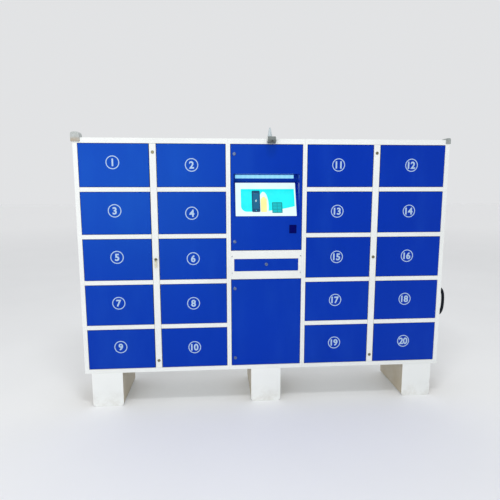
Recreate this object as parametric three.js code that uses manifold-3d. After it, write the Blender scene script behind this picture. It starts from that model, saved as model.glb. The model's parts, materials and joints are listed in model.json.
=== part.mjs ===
// A freestanding wall of twenty charging lockers, two banks of ten either side of a control column.
// Units are millimetres. X runs to the right, the front faces -Y, and Z is up from the floor.
// The origin is on the floor, at the middle of the cabinet's width and depth.

import * as THREE from 'three';
import { mergeVertices } from 'three/addons/utils/BufferGeometryUtils.js';
import Module from 'manifold-3d';

const wasm = await Module();
wasm.setup();

// ---------- driving dimensions ----------

const FOOT_HEIGHT = 235;
const CABINET_DEPTH = 420;
const SHEET = 1.5;               // steel sheet of every wall, shelf and door
const FIT = 0.3;                 // gap between two pieces that touch
const DOOR_GAP = 3;              // gap all round a door
const OVERRUN = 1;               // how far a cutting shape runs past a face

const ROWS = 5;
const OPENING_WIDTH = 440;       // one locker's front opening
const OPENING_HEIGHT = 274;
const RAIL = 28;                 // front rail between two rows, and under the last
const TOP_RAIL = 33;
const SIDE_STILE = 28;
const CENTRE_STILE = 28;         // two cabinets' edges, side by side
const POST = 44;                 // lock channel between two locker columns
const CENTRE_OPENING = 472;
const CONTROL_HEIGHT = 689;      // control door opening
const DRAWER_ZONE = 192;         // white plate with the service drawer
const DOOR_STOP = 22;            // depth of the lip round each cabinet's front opening
const BACK_INSET = 4;            // back panels lie this far inside a rim round each cabinet's back
const BACK_RIM = 16;

const DOOR_DEPTH = 18;
const DOOR_LIP = 12;
const PIVOT_IN = 10;             // hinge axis from the door's edge
const PIVOT_BACK = 5;            // hinge axis behind the front face
const PIN_RADIUS = 2.5;
const PIN_HOLE_RADIUS = 3;
const PIN_SIDES = 8;
const PIN_REACH = 6;             // how far a pin stands out of its door

const CHANNEL_COVER_GAP = 1.5;
const CHANNEL_COVER_DEPTH = 8;
const CHANNEL_PIVOT_IN = 8;
const CHANNEL_PIVOT_BACK = 4.5;
const CHANNEL_WALL_START = 12;   // channel walls begin this far behind the front

// ---------- heights and widths worked out from them ----------

const FRONT = -CABINET_DEPTH / 2;
const BACK = CABINET_DEPTH / 2;
const ROW_PITCH = OPENING_HEIGHT + RAIL;
const CABINET_BOTTOM = FOOT_HEIGHT;
const OPENINGS_BOTTOM = CABINET_BOTTOM + RAIL;
const OPENINGS_TOP = OPENINGS_BOTTOM + ROWS * ROW_PITCH - RAIL;
const CABINET_TOP = OPENINGS_TOP + TOP_RAIL;
const CENTRE_EDGE = CENTRE_OPENING / 2;
const BANK_INNER = CENTRE_EDGE + CENTRE_STILE;
const POST_INNER = BANK_INNER + OPENING_WIDTH;
const POST_OUTER = POST_INNER + POST;
const BANK_OUTER = POST_OUTER + OPENING_WIDTH;
const HALF_WIDTH = BANK_OUTER + SIDE_STILE;
const MODULE_JOINT = CENTRE_EDGE + CENTRE_STILE / 2;
const POST_MIDDLE = (POST_INNER + POST_OUTER) / 2;
const CONTROL_SILL = OPENINGS_TOP - CONTROL_HEIGHT;
const SERVICE_HEAD = CONTROL_SILL - DRAWER_ZONE;
const LIP_BACK = FRONT + DOOR_STOP;
const DOOR_BACK = FRONT + DOOR_DEPTH;
const PIVOT_Y = FRONT + PIVOT_BACK;
const PANEL_BACK = BACK - BACK_INSET;
const INNER_BACK = PANEL_BACK - SHEET - FIT;

// ---------- materials ----------

const paint = (color, roughness) => new THREE.MeshStandardMaterial({ color, roughness, metalness: 0.1 });
const WHITE = paint(0xf2f4f0, 0.45);
const FOOT_GREY = paint(0xe2e6e4, 0.5);
const BLUE = paint(0x1747b4, 0.35);
const DARK_PLASTIC = paint(0x23262b, 0.5);
const BLACK_PLASTIC = paint(0x101214, 0.6);
const GUARD_PLASTIC = paint(0xb9bfba, 0.6);
const NAVY_GLASS = paint(0x0b1030, 0.1);
const SCREEN_GLASS = paint(0x7fd8ea, 0.1);
const LIGHT = paint(0xe4fbff, 0.3);
const ZINC = new THREE.MeshStandardMaterial({ color: 0xb8bcc0, roughness: 0.35, metalness: 0.9 });
const CHROME = new THREE.MeshStandardMaterial({ color: 0xd6d9dc, roughness: 0.15, metalness: 1 });

// ---------- solid helpers ----------

function solid(geometry) {
  const bare = geometry.clone();
  bare.deleteAttribute('normal');
  bare.deleteAttribute('uv');
  const merged = mergeVertices(bare, 1e-4);
  return new wasm.Manifold(new wasm.Mesh({
    numProp: 3,
    vertProperties: new Float32Array(merged.attributes.position.array),
    triVerts: new Uint32Array(merged.index.array),
  }));
}

const join = (...solids) => solids.flat().reduce((whole, next) => whole.add(next));
const cut = (whole, ...tools) => tools.flat().reduce((rest, tool) => rest.subtract(tool), whole);

function boxGeometry([x0, x1], [y0, y1], [z0, z1]) {
  const geometry = new THREE.BoxGeometry(Math.abs(x1 - x0), y1 - y0, z1 - z0);
  return geometry.translate((x0 + x1) / 2, (y0 + y1) / 2, (z0 + z1) / 2);
}

const box = (x, y, z) => solid(boxGeometry(x, y, z));

// A round bar along Z, from z0 to z1.
function upright(radius, x, y, [z0, z1], sides) {
  const geometry = new THREE.CylinderGeometry(radius, radius, z1 - z0, sides);
  return solid(geometry.rotateX(Math.PI / 2).translate(x, y, (z0 + z1) / 2));
}

// A round bar along Y, from y0 to y1.
function frontToBack(radius, x, z, [y0, y1], sides) {
  const geometry = new THREE.CylinderGeometry(radius, radius, y1 - y0, sides);
  return solid(geometry.translate(x, (y0 + y1) / 2, z));
}

// An outline of [y, z] points, extruded along X.
function alongX(points, [x0, x1]) {
  const shape = new THREE.Shape(points.map(([y, z]) => new THREE.Vector2(y, z)));
  const geometry = new THREE.ExtrudeGeometry(shape, { depth: x1 - x0, bevelEnabled: false });
  const axes = new THREE.Matrix4().makeBasis(
    new THREE.Vector3(0, 1, 0), new THREE.Vector3(0, 0, 1), new THREE.Vector3(1, 0, 0));
  return solid(geometry.applyMatrix4(axes).translate(x0, 0, 0));
}

// Mirrors an X range to the left (-1) or right (+1) half of the cabinet.
const onSide = (side, a, b) => [Math.min(side * a, side * b), Math.max(side * a, side * b)];

const kiosk = new THREE.Group();

function addPiece(name, body, material) {
  const mesh = body.getMesh();
  const geometry = new THREE.BufferGeometry();
  geometry.setAttribute('position', new THREE.BufferAttribute(mesh.vertProperties, mesh.numProp));
  geometry.setIndex(new THREE.BufferAttribute(mesh.triVerts, 1));
  geometry.computeVertexNormals();
  const piece = new THREE.Mesh(geometry, material);
  piece.name = name;
  kiosk.add(piece);
}

// ---------- sheet metal ----------

// A folded tray: a front skin with four walls going back, and an inward lip where lip is not 0.
function tray([x0, x1], [z0, z1], front, depth, lip) {
  const rim = lip || SHEET;
  const back = front + depth;
  const hollowBack = lip ? back - SHEET : back + OVERRUN;
  return cut(
    box([x0, x1], [front, back], [z0, z1]),
    box([x0 + SHEET, x1 - SHEET], [front + SHEET, hollowBack], [z0 + SHEET, z1 - SHEET]),
    box([x0 + rim, x1 - rim], [back - 2 * SHEET, back + OVERRUN], [z0 + rim, z1 - rim]));
}

function pivotPins(x, y, [z0, z1], radius) {
  return [
    upright(radius, x, y, [z0 - PIN_REACH, z0 + SHEET / 2], PIN_SIDES),
    upright(radius, x, y, [z1 - SHEET / 2, z1 + PIN_REACH], PIN_SIDES),
  ];
}

const pinHole = (x, y, z) => upright(PIN_HOLE_RADIUS, x, y, [z - 2 * SHEET, z + 2 * SHEET], PIN_SIDES);

// ---------- locker grid ----------

// Each column's opening, as distances from the middle, and which way its hinge side lies.
const OUTER = { post: POST_OUTER, hinge: BANK_OUTER, wall: HALF_WIDTH - SHEET, out: 1 };
const INNER = { post: POST_INNER, hinge: BANK_INNER, wall: MODULE_JOINT + FIT / 2 + SHEET, out: -1 };
const COLUMNS = [
  { side: -1, ...OUTER },
  { side: -1, ...INNER },
  { side: 1, ...INNER },
  { side: 1, ...OUTER },
];

const rowTop = (row) => OPENINGS_TOP - row * ROW_PITCH;
const rowBottom = (row) => rowTop(row) - OPENING_HEIGHT;
const rowMiddle = (row) => rowTop(row) - OPENING_HEIGHT / 2;
const doorPivotX = ({ side, hinge, out }) => side * (hinge - out * (DOOR_GAP + PIVOT_IN));

// Lockers are numbered down each bank, left then right in each row.
const lockerNumber = (column, row) => Math.floor(column / 2) * 2 * ROWS + row * 2 + (column % 2) + 1;

// The hook behind each door's free edge, which the electric lock catches.
const STRIKER_IN = 8;            // from the door's edge to the hook's near face
const STRIKER_THICKNESS = 3;
const STRIKER_REACH = 26;
const STRIKER_HEIGHT = 24;
const STRIKER_EYE = 8;

function striker({ side, post, out }, z) {
  const near = post + out * (DOOR_GAP + STRIKER_IN);
  const x = onSide(side, near, near + out * STRIKER_THICKNESS);
  const y = [DOOR_BACK - SHEET, DOOR_BACK + STRIKER_REACH];
  const eyeMiddle = DOOR_BACK + STRIKER_REACH - STRIKER_EYE;
  return cut(
    box(x, y, [z - STRIKER_HEIGHT / 2, z + STRIKER_HEIGHT / 2]),
    box([x[0] - OVERRUN, x[1] + OVERRUN],
      [eyeMiddle - STRIKER_EYE / 2, eyeMiddle + STRIKER_EYE / 2],
      [z - STRIKER_EYE / 2, z + STRIKER_EYE / 2]));
}

function lockerDoor(column, row) {
  const at = COLUMNS[column];
  const x = onSide(at.side, at.post + at.out * DOOR_GAP, at.hinge - at.out * DOOR_GAP);
  const z = [rowBottom(row) + DOOR_GAP, rowTop(row) - DOOR_GAP];
  const panel = tray(x, z, FRONT, DOOR_DEPTH, DOOR_LIP);
  return join(panel, pivotPins(doorPivotX(at), PIVOT_Y, z, PIN_RADIUS), striker(at, rowMiddle(row)));
}

// ---------- cabinets ----------

// A closed steel box with a front frame, a lip behind the frame that the doors close inside,
// and a back panel set in from the back edges.
function cabinet([x0, x1], [open0, open1], pinHoles) {
  const z = [CABINET_BOTTOM, CABINET_TOP];
  const openZ = [OPENINGS_BOTTOM, OPENINGS_TOP];
  const shell = cut(
    box([x0, x1], [FRONT, BACK], z),
    box([x0 + SHEET, x1 - SHEET], [FRONT + SHEET, PANEL_BACK - SHEET], [z[0] + SHEET, z[1] - SHEET]),
    box([x0 + BACK_RIM, x1 - BACK_RIM], [PANEL_BACK, BACK + OVERRUN], [z[0] + BACK_RIM, z[1] - BACK_RIM]));
  const lip = box([open0 - SHEET, open1 + SHEET], [FRONT, LIP_BACK], [openZ[0] - SHEET, openZ[1] + SHEET]);
  const opening = box([open0, open1], [FRONT - OVERRUN, LIP_BACK + OVERRUN], openZ);
  return cut(join(shell, lip), opening, pinHoles);
}

const CHANNEL_PIVOT_Y = FRONT + CHANNEL_PIVOT_BACK;
const channelCoverX = (side) => onSide(side, POST_INNER + CHANNEL_COVER_GAP, POST_OUTER - CHANNEL_COVER_GAP);
const channelPivotX = (side) => channelCoverX(side)[0] + CHANNEL_PIVOT_IN;

function bankCabinet(side) {
  const holeColumns = COLUMNS.filter((column) => column.side === side);
  const levels = [OPENINGS_BOTTOM, OPENINGS_TOP];
  const holes = levels.flatMap((z) => [
    ...holeColumns.map((column) => pinHole(doorPivotX(column), PIVOT_Y, z)),
    pinHole(channelPivotX(side), CHANNEL_PIVOT_Y, z),
  ]);
  return cabinet(
    onSide(side, MODULE_JOINT + FIT / 2, HALF_WIDTH),
    onSide(side, BANK_INNER, BANK_OUTER), holes);
}

// The middle cabinet has two fixed shelves, above and below the service drawer.
const CENTRE_DOOR_EDGE = CENTRE_EDGE - DOOR_GAP;
const CENTRE_PIVOT_X = CENTRE_DOOR_EDGE - PIVOT_IN;
const FIXED_SHELF_IN = 16;

function centreCabinet() {
  const half = MODULE_JOINT - FIT / 2;
  const levels = [OPENINGS_BOTTOM, OPENINGS_TOP];
  const holes = levels.map((z) => pinHole(CENTRE_PIVOT_X, PIVOT_Y, z));
  const shell = cabinet([-half, half], [-CENTRE_EDGE, CENTRE_EDGE], holes);
  const shelfAt = (z) => box([-half + SHEET / 2, half - SHEET / 2],
    [LIP_BACK + FIT, PANEL_BACK - SHEET / 2], [z, z + SHEET]);
  return join(shell, shelfAt(CONTROL_SILL - FIXED_SHELF_IN), shelfAt(SERVICE_HEAD + FIXED_SHELF_IN - SHEET));
}

// ---------- locks and charging outlets, on rails inside each lock channel ----------

const LOCK_FRONT = FRONT + 24;
const LOCK_DEPTH = 76;
const LOCK_HEIGHT = 60;
const LOCK_WIDTH = 30;
const LOCK_SLOT_DEPTH = 28;
const LOCK_SLOT_HEIGHT = 34;
const LOCK_NECK_FRONT = FRONT + 58;
const LOCK_NECK_DEPTH = 40;
const LOCK_NECK_HEIGHT = 40;
const LOCK_RAIL_THICKNESS = 4;
const LOCK_OFF_WALL = 1;
const LOCK_SLOT = [8, 20];       // the slot's two sides, from the channel wall
const RAIL_END_GAP = 12;

const OUTLET_FRONT = FRONT + 250;
const OUTLET_DEPTH = 46;
const OUTLET_HEIGHT = 76;
const OUTLET_PROUD = 7;
const OUTLET_BACKING = 5;
const SOCKET_WIDTH = 14;
const SOCKET_HEIGHT = 7;
const SOCKET_DEPTH = 3;
const SOCKET_SPACING = 22;
const WINDOW_MARGIN = 2;

const railHeights = [CABINET_BOTTOM + RAIL_END_GAP, CABINET_TOP - RAIL_END_GAP];

// One lock: a case standing in the locker beside the channel wall, slotted for the door's hook,
// with a neck through the wall to the rail.
function electricLock(side, out, z) {
  const wall = POST_MIDDLE + out * POST / 2;
  const near = wall + out * LOCK_OFF_WALL;
  const far = near + out * LOCK_WIDTH;
  const [slotNear, slotFar] = LOCK_SLOT.map((distance) => wall + out * distance);
  const neckEnd = POST_MIDDLE + out * LOCK_RAIL_THICKNESS / 2;
  const height = [z - LOCK_HEIGHT / 2, z + LOCK_HEIGHT / 2];
  const slotHeight = [z - LOCK_SLOT_HEIGHT / 2, z + LOCK_SLOT_HEIGHT / 2];
  const neckHeight = [z - LOCK_NECK_HEIGHT / 2, z + LOCK_NECK_HEIGHT / 2];
  return join(
    cut(
      box(onSide(side, near, far), [LOCK_FRONT, LOCK_FRONT + LOCK_DEPTH], height),
      box(onSide(side, slotNear, slotFar), [LOCK_FRONT - OVERRUN, LOCK_FRONT + LOCK_SLOT_DEPTH], slotHeight)),
    box(onSide(side, neckEnd - out * OVERRUN, near + out * OVERRUN),
      [LOCK_NECK_FRONT, LOCK_NECK_FRONT + LOCK_NECK_DEPTH], neckHeight));
}

function lockRail(side) {
  const halfRail = LOCK_RAIL_THICKNESS / 2;
  const spine = box(onSide(side, POST_MIDDLE - halfRail, POST_MIDDLE + halfRail),
    [LOCK_NECK_FRONT, LOCK_NECK_FRONT + LOCK_NECK_DEPTH], railHeights);
  const locks = [];
  for (let row = 0; row < ROWS; row += 1) {
    locks.push(electricLock(side, 1, rowMiddle(row)), electricLock(side, -1, rowMiddle(row)));
  }
  return join(spine, locks);
}

// One outlet: a block through the channel wall with two charging sockets in its face.
function chargingOutlet(side, out, z) {
  const face = POST_MIDDLE + out * (POST / 2 + OUTLET_PROUD);
  const socketEnd = face - out * SOCKET_DEPTH;
  const middle = OUTLET_FRONT + OUTLET_DEPTH / 2;
  const block = box(onSide(side, POST_MIDDLE, face),
    [OUTLET_FRONT, OUTLET_FRONT + OUTLET_DEPTH], [z - OUTLET_HEIGHT / 2, z + OUTLET_HEIGHT / 2]);
  const sockets = [-1, 1].map((step) => {
    const level = z + step * SOCKET_SPACING / 2;
    return box(onSide(side, socketEnd, face + out * OVERRUN),
      [middle - SOCKET_WIDTH / 2, middle + SOCKET_WIDTH / 2],
      [level - SOCKET_HEIGHT / 2, level + SOCKET_HEIGHT / 2]);
  });
  return cut(block, sockets);
}

function chargingRail(side) {
  const spine = box(onSide(side, POST_MIDDLE - OUTLET_BACKING, POST_MIDDLE + OUTLET_BACKING),
    [OUTLET_FRONT, OUTLET_FRONT + OUTLET_DEPTH], railHeights);
  const outlets = [];
  for (let row = 0; row < ROWS; row += 1) {
    outlets.push(chargingOutlet(side, 1, rowMiddle(row)), chargingOutlet(side, -1, rowMiddle(row)));
  }
  return join(spine, outlets);
}

// ---------- shelves: one channel wall carrying a column's floors and front rails ----------

const PIN_LIP_DEPTH = 14;

// A shelf's folded front edge in side view: floor, front rail and a lip that holds the pins below.
function shelfNose(top) {
  const bottom = top - RAIL;
  const under = top - SHEET;
  const tail = FRONT + CHANNEL_WALL_START + OVERRUN;
  const lip = FRONT + PIN_LIP_DEPTH;
  return [
    [FRONT, bottom], [lip, bottom], [lip, bottom + SHEET], [FRONT + SHEET, bottom + SHEET],
    [FRONT + SHEET, under], [tail, under], [tail, top], [FRONT, top],
  ];
}

function shelfStack({ side, post, hinge, wall, out }) {
  const channelWall = onSide(side, post - out * SHEET, post);
  const front = onSide(side, post - out * SHEET / 2, hinge - out * FIT);
  const rail = onSide(side, post, hinge - out * FIT);
  const deep = onSide(side, post - out * SHEET / 2, wall - out * FIT);
  const wallFront = FRONT + CHANNEL_WALL_START;
  const behindLip = LIP_BACK + FIT;
  const parts = [
    box(channelWall, [behindLip, INNER_BACK], [CABINET_BOTTOM + SHEET + FIT, CABINET_TOP - SHEET - FIT]),
    box(channelWall, [wallFront, behindLip + OVERRUN], [OPENINGS_BOTTOM + FIT, OPENINGS_TOP - FIT]),
    box(deep, [behindLip, INNER_BACK], [OPENINGS_BOTTOM - SHEET, OPENINGS_BOTTOM]),
  ];
  const tools = [];
  const pivotX = doorPivotX({ side, hinge, out });
  for (let row = 0; row < ROWS; row += 1) {
    const z = rowMiddle(row);
    const windowX = [channelWall[0] - OVERRUN, channelWall[1] + OVERRUN];
    const lockHalf = LOCK_NECK_HEIGHT / 2 + WINDOW_MARGIN;
    const outletHalf = OUTLET_HEIGHT / 2 + WINDOW_MARGIN;
    tools.push(
      box(windowX,
        [LOCK_NECK_FRONT - WINDOW_MARGIN, LOCK_NECK_FRONT + LOCK_NECK_DEPTH + WINDOW_MARGIN],
        [z - lockHalf, z + lockHalf]),
      box(windowX,
        [OUTLET_FRONT - WINDOW_MARGIN, OUTLET_FRONT + OUTLET_DEPTH + WINDOW_MARGIN],
        [z - outletHalf, z + outletHalf]));
    if (row === ROWS - 1) break;
    const railTop = rowBottom(row);
    const railBottom = railTop - RAIL;
    parts.push(
      box(deep, [behindLip, INNER_BACK], [railTop - SHEET, railTop]),
      alongX(shelfNose(railTop), rail),
      box(front, [wallFront, behindLip + OVERRUN], [railTop - SHEET, railTop]));
    tools.push(pinHole(pivotX, PIVOT_Y, railTop), pinHole(pivotX, PIVOT_Y, railBottom));
  }
  return cut(join(parts), tools);
}

// ---------- cam locks ----------

const CAM_LOCK = { head: 11, proud: 2.5, body: 8, bodyLength: 21.5, hole: 9, reach: 20, width: 12 };
const POST_LOCK = { head: 10, proud: 2.5, body: 7, bodyLength: 13, hole: 8, reach: 14, width: 10 };
const CAM_THICKNESS = 2.5;
const KEYWAY = { width: 1.6, height: 8, depth: 2 };
const LOCK_SIDES = 12;

// A round keyed lock through a front skin, with a cam behind that points along (dx, dz).
function camLock(kind, x, z, dx, dz) {
  const headBack = FRONT - FIT;
  const tip = [x + dx * kind.reach, z + dz * kind.reach];
  const half = kind.width / 2;
  const cam = box(
    [Math.min(x - half, tip[0]), Math.max(x + half, tip[0])],
    [FRONT + kind.bodyLength - OVERRUN, FRONT + kind.bodyLength + CAM_THICKNESS],
    [Math.min(z - half, tip[1]), Math.max(z + half, tip[1])]);
  return cut(
    join(
      frontToBack(kind.head, x, z, [headBack - kind.proud, headBack], LOCK_SIDES),
      frontToBack(kind.body, x, z, [headBack - OVERRUN, FRONT + kind.bodyLength], LOCK_SIDES),
      cam),
    box([x - KEYWAY.width / 2, x + KEYWAY.width / 2],
      [headBack - kind.proud - OVERRUN, headBack - kind.proud + KEYWAY.depth],
      [z - KEYWAY.height / 2, z + KEYWAY.height / 2]));
}

const LOCK_HOLE_Y = [FRONT - OVERRUN, FRONT + 2 * SHEET];
const lockHole = (kind, x, z) => frontToBack(kind.hole, x, z, LOCK_HOLE_Y, LOCK_SIDES);

const POST_LOCK_DROPS = [54, 741, 1431];         // below the top of the openings
const CONTROL_LOCK_X = -210;
const CONTROL_LOCK_DROPS = [63, 629];
const SERVICE_LOCK_DROPS = [944, 1428];
const DRAWER_LOCK = [0, 782];
const atDrop = (drop) => OPENINGS_TOP - drop;

function channelCover(side) {
  const x = channelCoverX(side);
  const z = [OPENINGS_BOTTOM + OVERRUN, OPENINGS_TOP - OVERRUN];
  const strip = tray(x, z, FRONT, CHANNEL_COVER_DEPTH, 0);
  const holes = POST_LOCK_DROPS.map((drop) => lockHole(POST_LOCK, side * POST_MIDDLE, atDrop(drop)));
  return cut(join(strip, pivotPins(channelPivotX(side), CHANNEL_PIVOT_Y, z, PIN_RADIUS)), holes);
}

// ---------- control door with its sloping display recess ----------

const CENTRE_DOOR_DEPTH = 20;
const RECESS_HALF = 215;
const RECESS_DROPS = [188, 468];
const RECESS_DEPTH = 110;
const SLOPE_TOP_DROP = 237;
const SLOPE_BOTTOM_IN = 8;
const SLOPE = THREE.MathUtils.degToRad(22);
const SCREEN_WIDTH = 405;
const SCREEN_HEIGHT = 236;
const SCREEN_UP_SLOPE = 6;       // from the slope's foot to the screen window
const SCANNER = { x: 175, drop: 548, width: 40, height: 48, frame: 3.5, proud: 3, recess: 2, body: 46 };

const SLOPE_FOOT = { y: FRONT + SLOPE_BOTTOM_IN, z: atDrop(RECESS_DROPS[1]) };
const SLOPE_RISE = RECESS_DROPS[1] - SLOPE_TOP_DROP;
const SLOPE_HEAD_Y = SLOPE_FOOT.y + SLOPE_RISE * Math.tan(SLOPE);
const centreDoorX = [-CENTRE_DOOR_EDGE, CENTRE_DOOR_EDGE];

// A box in the slope's own frame: X across, y into the slope, z up the slope from its foot.
function slopedBox(x, y, z) {
  return solid(boxGeometry(x, y, z).rotateX(-SLOPE).translate(0, SLOPE_FOOT.y, SLOPE_FOOT.z));
}

// The recess in side view, grown outwards by grow all round.
function recessOutline(grow) {
  const top = atDrop(RECESS_DROPS[0]) + grow;
  const bottom = SLOPE_FOOT.z - grow;
  const back = FRONT + RECESS_DEPTH + grow;
  const ledge = atDrop(SLOPE_TOP_DROP) - grow;
  const across = grow / Math.cos(SLOPE);
  const slopeAt = (z) => SLOPE_FOOT.y + (z - SLOPE_FOOT.z) * Math.tan(SLOPE) + across;
  return [
    [FRONT, bottom], [slopeAt(bottom), bottom], [slopeAt(ledge), ledge],
    [back, ledge], [back, top], [FRONT, top],
  ];
}

function controlDoor() {
  const z = [CONTROL_SILL + DOOR_GAP, OPENINGS_TOP - DOOR_GAP];
  const panel = tray(centreDoorX, z, FRONT, CENTRE_DOOR_DEPTH, DOOR_LIP);
  const recess = alongX(recessOutline(SHEET), [-RECESS_HALF - SHEET, RECESS_HALF + SHEET]);
  const hollow = alongX(recessOutline(0), [-RECESS_HALF, RECESS_HALF]);
  const mouth = box([-RECESS_HALF, RECESS_HALF], [FRONT - OVERRUN, FRONT + SHEET],
    [atDrop(RECESS_DROPS[1]), atDrop(RECESS_DROPS[0])]);
  const screenWindow = slopedBox([-SCREEN_WIDTH / 2, SCREEN_WIDTH / 2], [-SHEET, 2 * SHEET],
    [SCREEN_UP_SLOPE, SCREEN_UP_SLOPE + SCREEN_HEIGHT]);
  const scannerZ = atDrop(SCANNER.drop);
  const scannerHole = box(
    [SCANNER.x - SCANNER.width / 2 - OVERRUN, SCANNER.x + SCANNER.width / 2 + OVERRUN],
    [FRONT - OVERRUN, FRONT + 2 * SHEET],
    [scannerZ - SCANNER.height / 2 - OVERRUN, scannerZ + SCANNER.height / 2 + OVERRUN]);
  const locks = CONTROL_LOCK_DROPS.map((drop) => lockHole(CAM_LOCK, CONTROL_LOCK_X, atDrop(drop)));
  return cut(
    join(panel, recess, pivotPins(CENTRE_PIVOT_X, PIVOT_Y, z, PIN_RADIUS)),
    hollow, mouth, screenWindow, scannerHole, locks);
}

// The display stands behind the sloping sheet, its glass against the window.
const DISPLAY_BORDER = 5.5;
const GLASS_THICKNESS = 6;
const DISPLAY_DEPTH = 28;
const DISPLAY_CASE_IN = 18;

function touchDisplay() {
  const half = SCREEN_WIDTH / 2;
  const behind = SHEET + FIT;
  const low = SCREEN_UP_SLOPE - DISPLAY_BORDER;
  const high = SCREEN_UP_SLOPE + SCREEN_HEIGHT + DISPLAY_BORDER;
  const glassBack = behind + GLASS_THICKNESS;
  return join(
    slopedBox([-half + FIT, half - FIT], [FIT, behind + OVERRUN],
      [SCREEN_UP_SLOPE + FIT, SCREEN_UP_SLOPE + SCREEN_HEIGHT - FIT]),
    slopedBox([-half - DISPLAY_BORDER, half + DISPLAY_BORDER], [behind, glassBack], [low, high]),
    slopedBox([-half + DISPLAY_CASE_IN, half - DISPLAY_CASE_IN], [glassBack - OVERRUN, DISPLAY_DEPTH],
      [low + DISPLAY_CASE_IN, high - DISPLAY_CASE_IN]));
}

const DIFFUSER = { x: [-201, 193], drops: [192, 215], depth: 9 };

function lightDiffuser() {
  const back = FRONT + RECESS_DEPTH - FIT;
  const z0 = atDrop(DIFFUSER.drops[1]);
  const z1 = atDrop(DIFFUSER.drops[0]);
  const chamfer = DIFFUSER.depth / 3;
  const front = back - DIFFUSER.depth;
  const outline = [
    [front, z0 + chamfer], [front + chamfer, z0], [back, z0],
    [back, z1], [front + chamfer, z1], [front, z1 - chamfer],
  ];
  return alongX(outline, DIFFUSER.x);
}

function codeScanner() {
  const z = atDrop(SCANNER.drop);
  const w = SCANNER.width / 2;
  const h = SCANNER.height / 2;
  const face = FRONT - FIT - SCANNER.proud;
  return cut(
    join(
      box([SCANNER.x - w - SCANNER.frame, SCANNER.x + w + SCANNER.frame], [face, FRONT - FIT],
        [z - h - SCANNER.frame, z + h + SCANNER.frame]),
      box([SCANNER.x - w, SCANNER.x + w], [FRONT - FIT - OVERRUN, FRONT + SCANNER.body], [z - h, z + h])),
    box([SCANNER.x - w, SCANNER.x + w], [face - OVERRUN, face + SCANNER.recess], [z - h, z + h]));
}

// ---------- service drawer in its white plate ----------

const DRAWER_HALF = 213;
const DRAWER_DROPS = [746, 826];
const DRAWER_PLAY = 1.5;
const DRAWER_DEPTH = 280;
const DRAWER_WALL = 1.5;
const DRAWER_FACE_DEPTH = 14;
const DRAWER_BODY_IN = 28;       // the tray starts this far behind the front, clear of the lock's cam
const DRAWER_SIDE_IN = 6;        // tray walls stand in from the drawer front's edge
const SLEEVE_DEPTH = 320;
const PLATE_RETURN = 14;

const plateX = [-CENTRE_EDGE + FIT, CENTRE_EDGE - FIT];
const plateZ = [SERVICE_HEAD + FIT, CONTROL_SILL - FIT];
const drawerX = [-DRAWER_HALF, DRAWER_HALF];
const drawerZ = [atDrop(DRAWER_DROPS[1]), atDrop(DRAWER_DROPS[0])];
const grown = ([a, b], by) => [a - by, b + by];

function slotPlate() {
  const plate = tray(plateX, plateZ, FRONT, PLATE_RETURN, 0);
  const sleeve = box(grown(drawerX, DRAWER_PLAY + SHEET), [FRONT, FRONT + SLEEVE_DEPTH],
    grown(drawerZ, DRAWER_PLAY + SHEET));
  const bore = box(grown(drawerX, DRAWER_PLAY), [FRONT - OVERRUN, FRONT + SLEEVE_DEPTH - SHEET],
    grown(drawerZ, DRAWER_PLAY));
  const holes = plateZ.map((z) => pinHole(CENTRE_PIVOT_X, PIVOT_Y, z));
  return cut(join(plate, sleeve), bore, holes);
}

function serviceDrawer() {
  const face = box(drawerX, [FRONT, FRONT + DRAWER_FACE_DEPTH], drawerZ);
  const faceHollow = box(grown(drawerX, -DRAWER_WALL), [FRONT + SHEET, FRONT + DRAWER_FACE_DEPTH + OVERRUN],
    grown(drawerZ, -DRAWER_WALL));
  const body = box(grown(drawerX, -DRAWER_SIDE_IN), [FRONT + DRAWER_BODY_IN, FRONT + DRAWER_DEPTH],
    [drawerZ[0], drawerZ[1] - DRAWER_SIDE_IN]);
  const bodyHollow = box(grown(drawerX, -DRAWER_SIDE_IN - DRAWER_WALL),
    [FRONT + DRAWER_BODY_IN + DRAWER_WALL, FRONT + DRAWER_DEPTH - DRAWER_WALL],
    [drawerZ[0] + DRAWER_WALL, drawerZ[1] + OVERRUN]);
  const floor = box(grown(drawerX, -DRAWER_SIDE_IN), [FRONT + SHEET / 2, FRONT + DRAWER_DEPTH],
    [drawerZ[0], drawerZ[0] + DRAWER_WALL]);
  const lock = lockHole(CAM_LOCK, DRAWER_LOCK[0], atDrop(DRAWER_LOCK[1]));
  return cut(join(cut(face, faceHollow), cut(body, bodyHollow), floor), lock);
}

function serviceDoor() {
  const z = [OPENINGS_BOTTOM + DOOR_GAP, SERVICE_HEAD - DOOR_GAP];
  const panel = tray(centreDoorX, z, FRONT, CENTRE_DOOR_DEPTH, DOOR_LIP);
  const locks = SERVICE_LOCK_DROPS.map((drop) => lockHole(CAM_LOCK, CONTROL_LOCK_X, atDrop(drop)));
  return cut(join(panel, pivotPins(CENTRE_PIVOT_X, PIVOT_Y, z, PIN_RADIUS)), locks);
}

// The computer and power supply behind the service door, in one vented case on the back wall.
const CONTROL_BOX = { width: 320, depth: 110, height: 240, floor: 430 };
const VENT = { count: 9, width: 160, height: 6, depth: 3 };

function controlBox() {
  const back = INNER_BACK;
  const front = back - CONTROL_BOX.depth;
  const z0 = CONTROL_BOX.floor;
  const half = CONTROL_BOX.width / 2;
  const pitch = CONTROL_BOX.height / (VENT.count + 1);
  const vents = [];
  for (let vent = 1; vent <= VENT.count; vent += 1) {
    const z = z0 + vent * pitch;
    vents.push(box([-VENT.width / 2, VENT.width / 2], [front - OVERRUN, front + VENT.depth],
      [z - VENT.height / 2, z + VENT.height / 2]));
  }
  return cut(box([-half, half], [front, back], [z0, z0 + CONTROL_BOX.height]), vents);
}

// ---------- feet ----------

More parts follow.
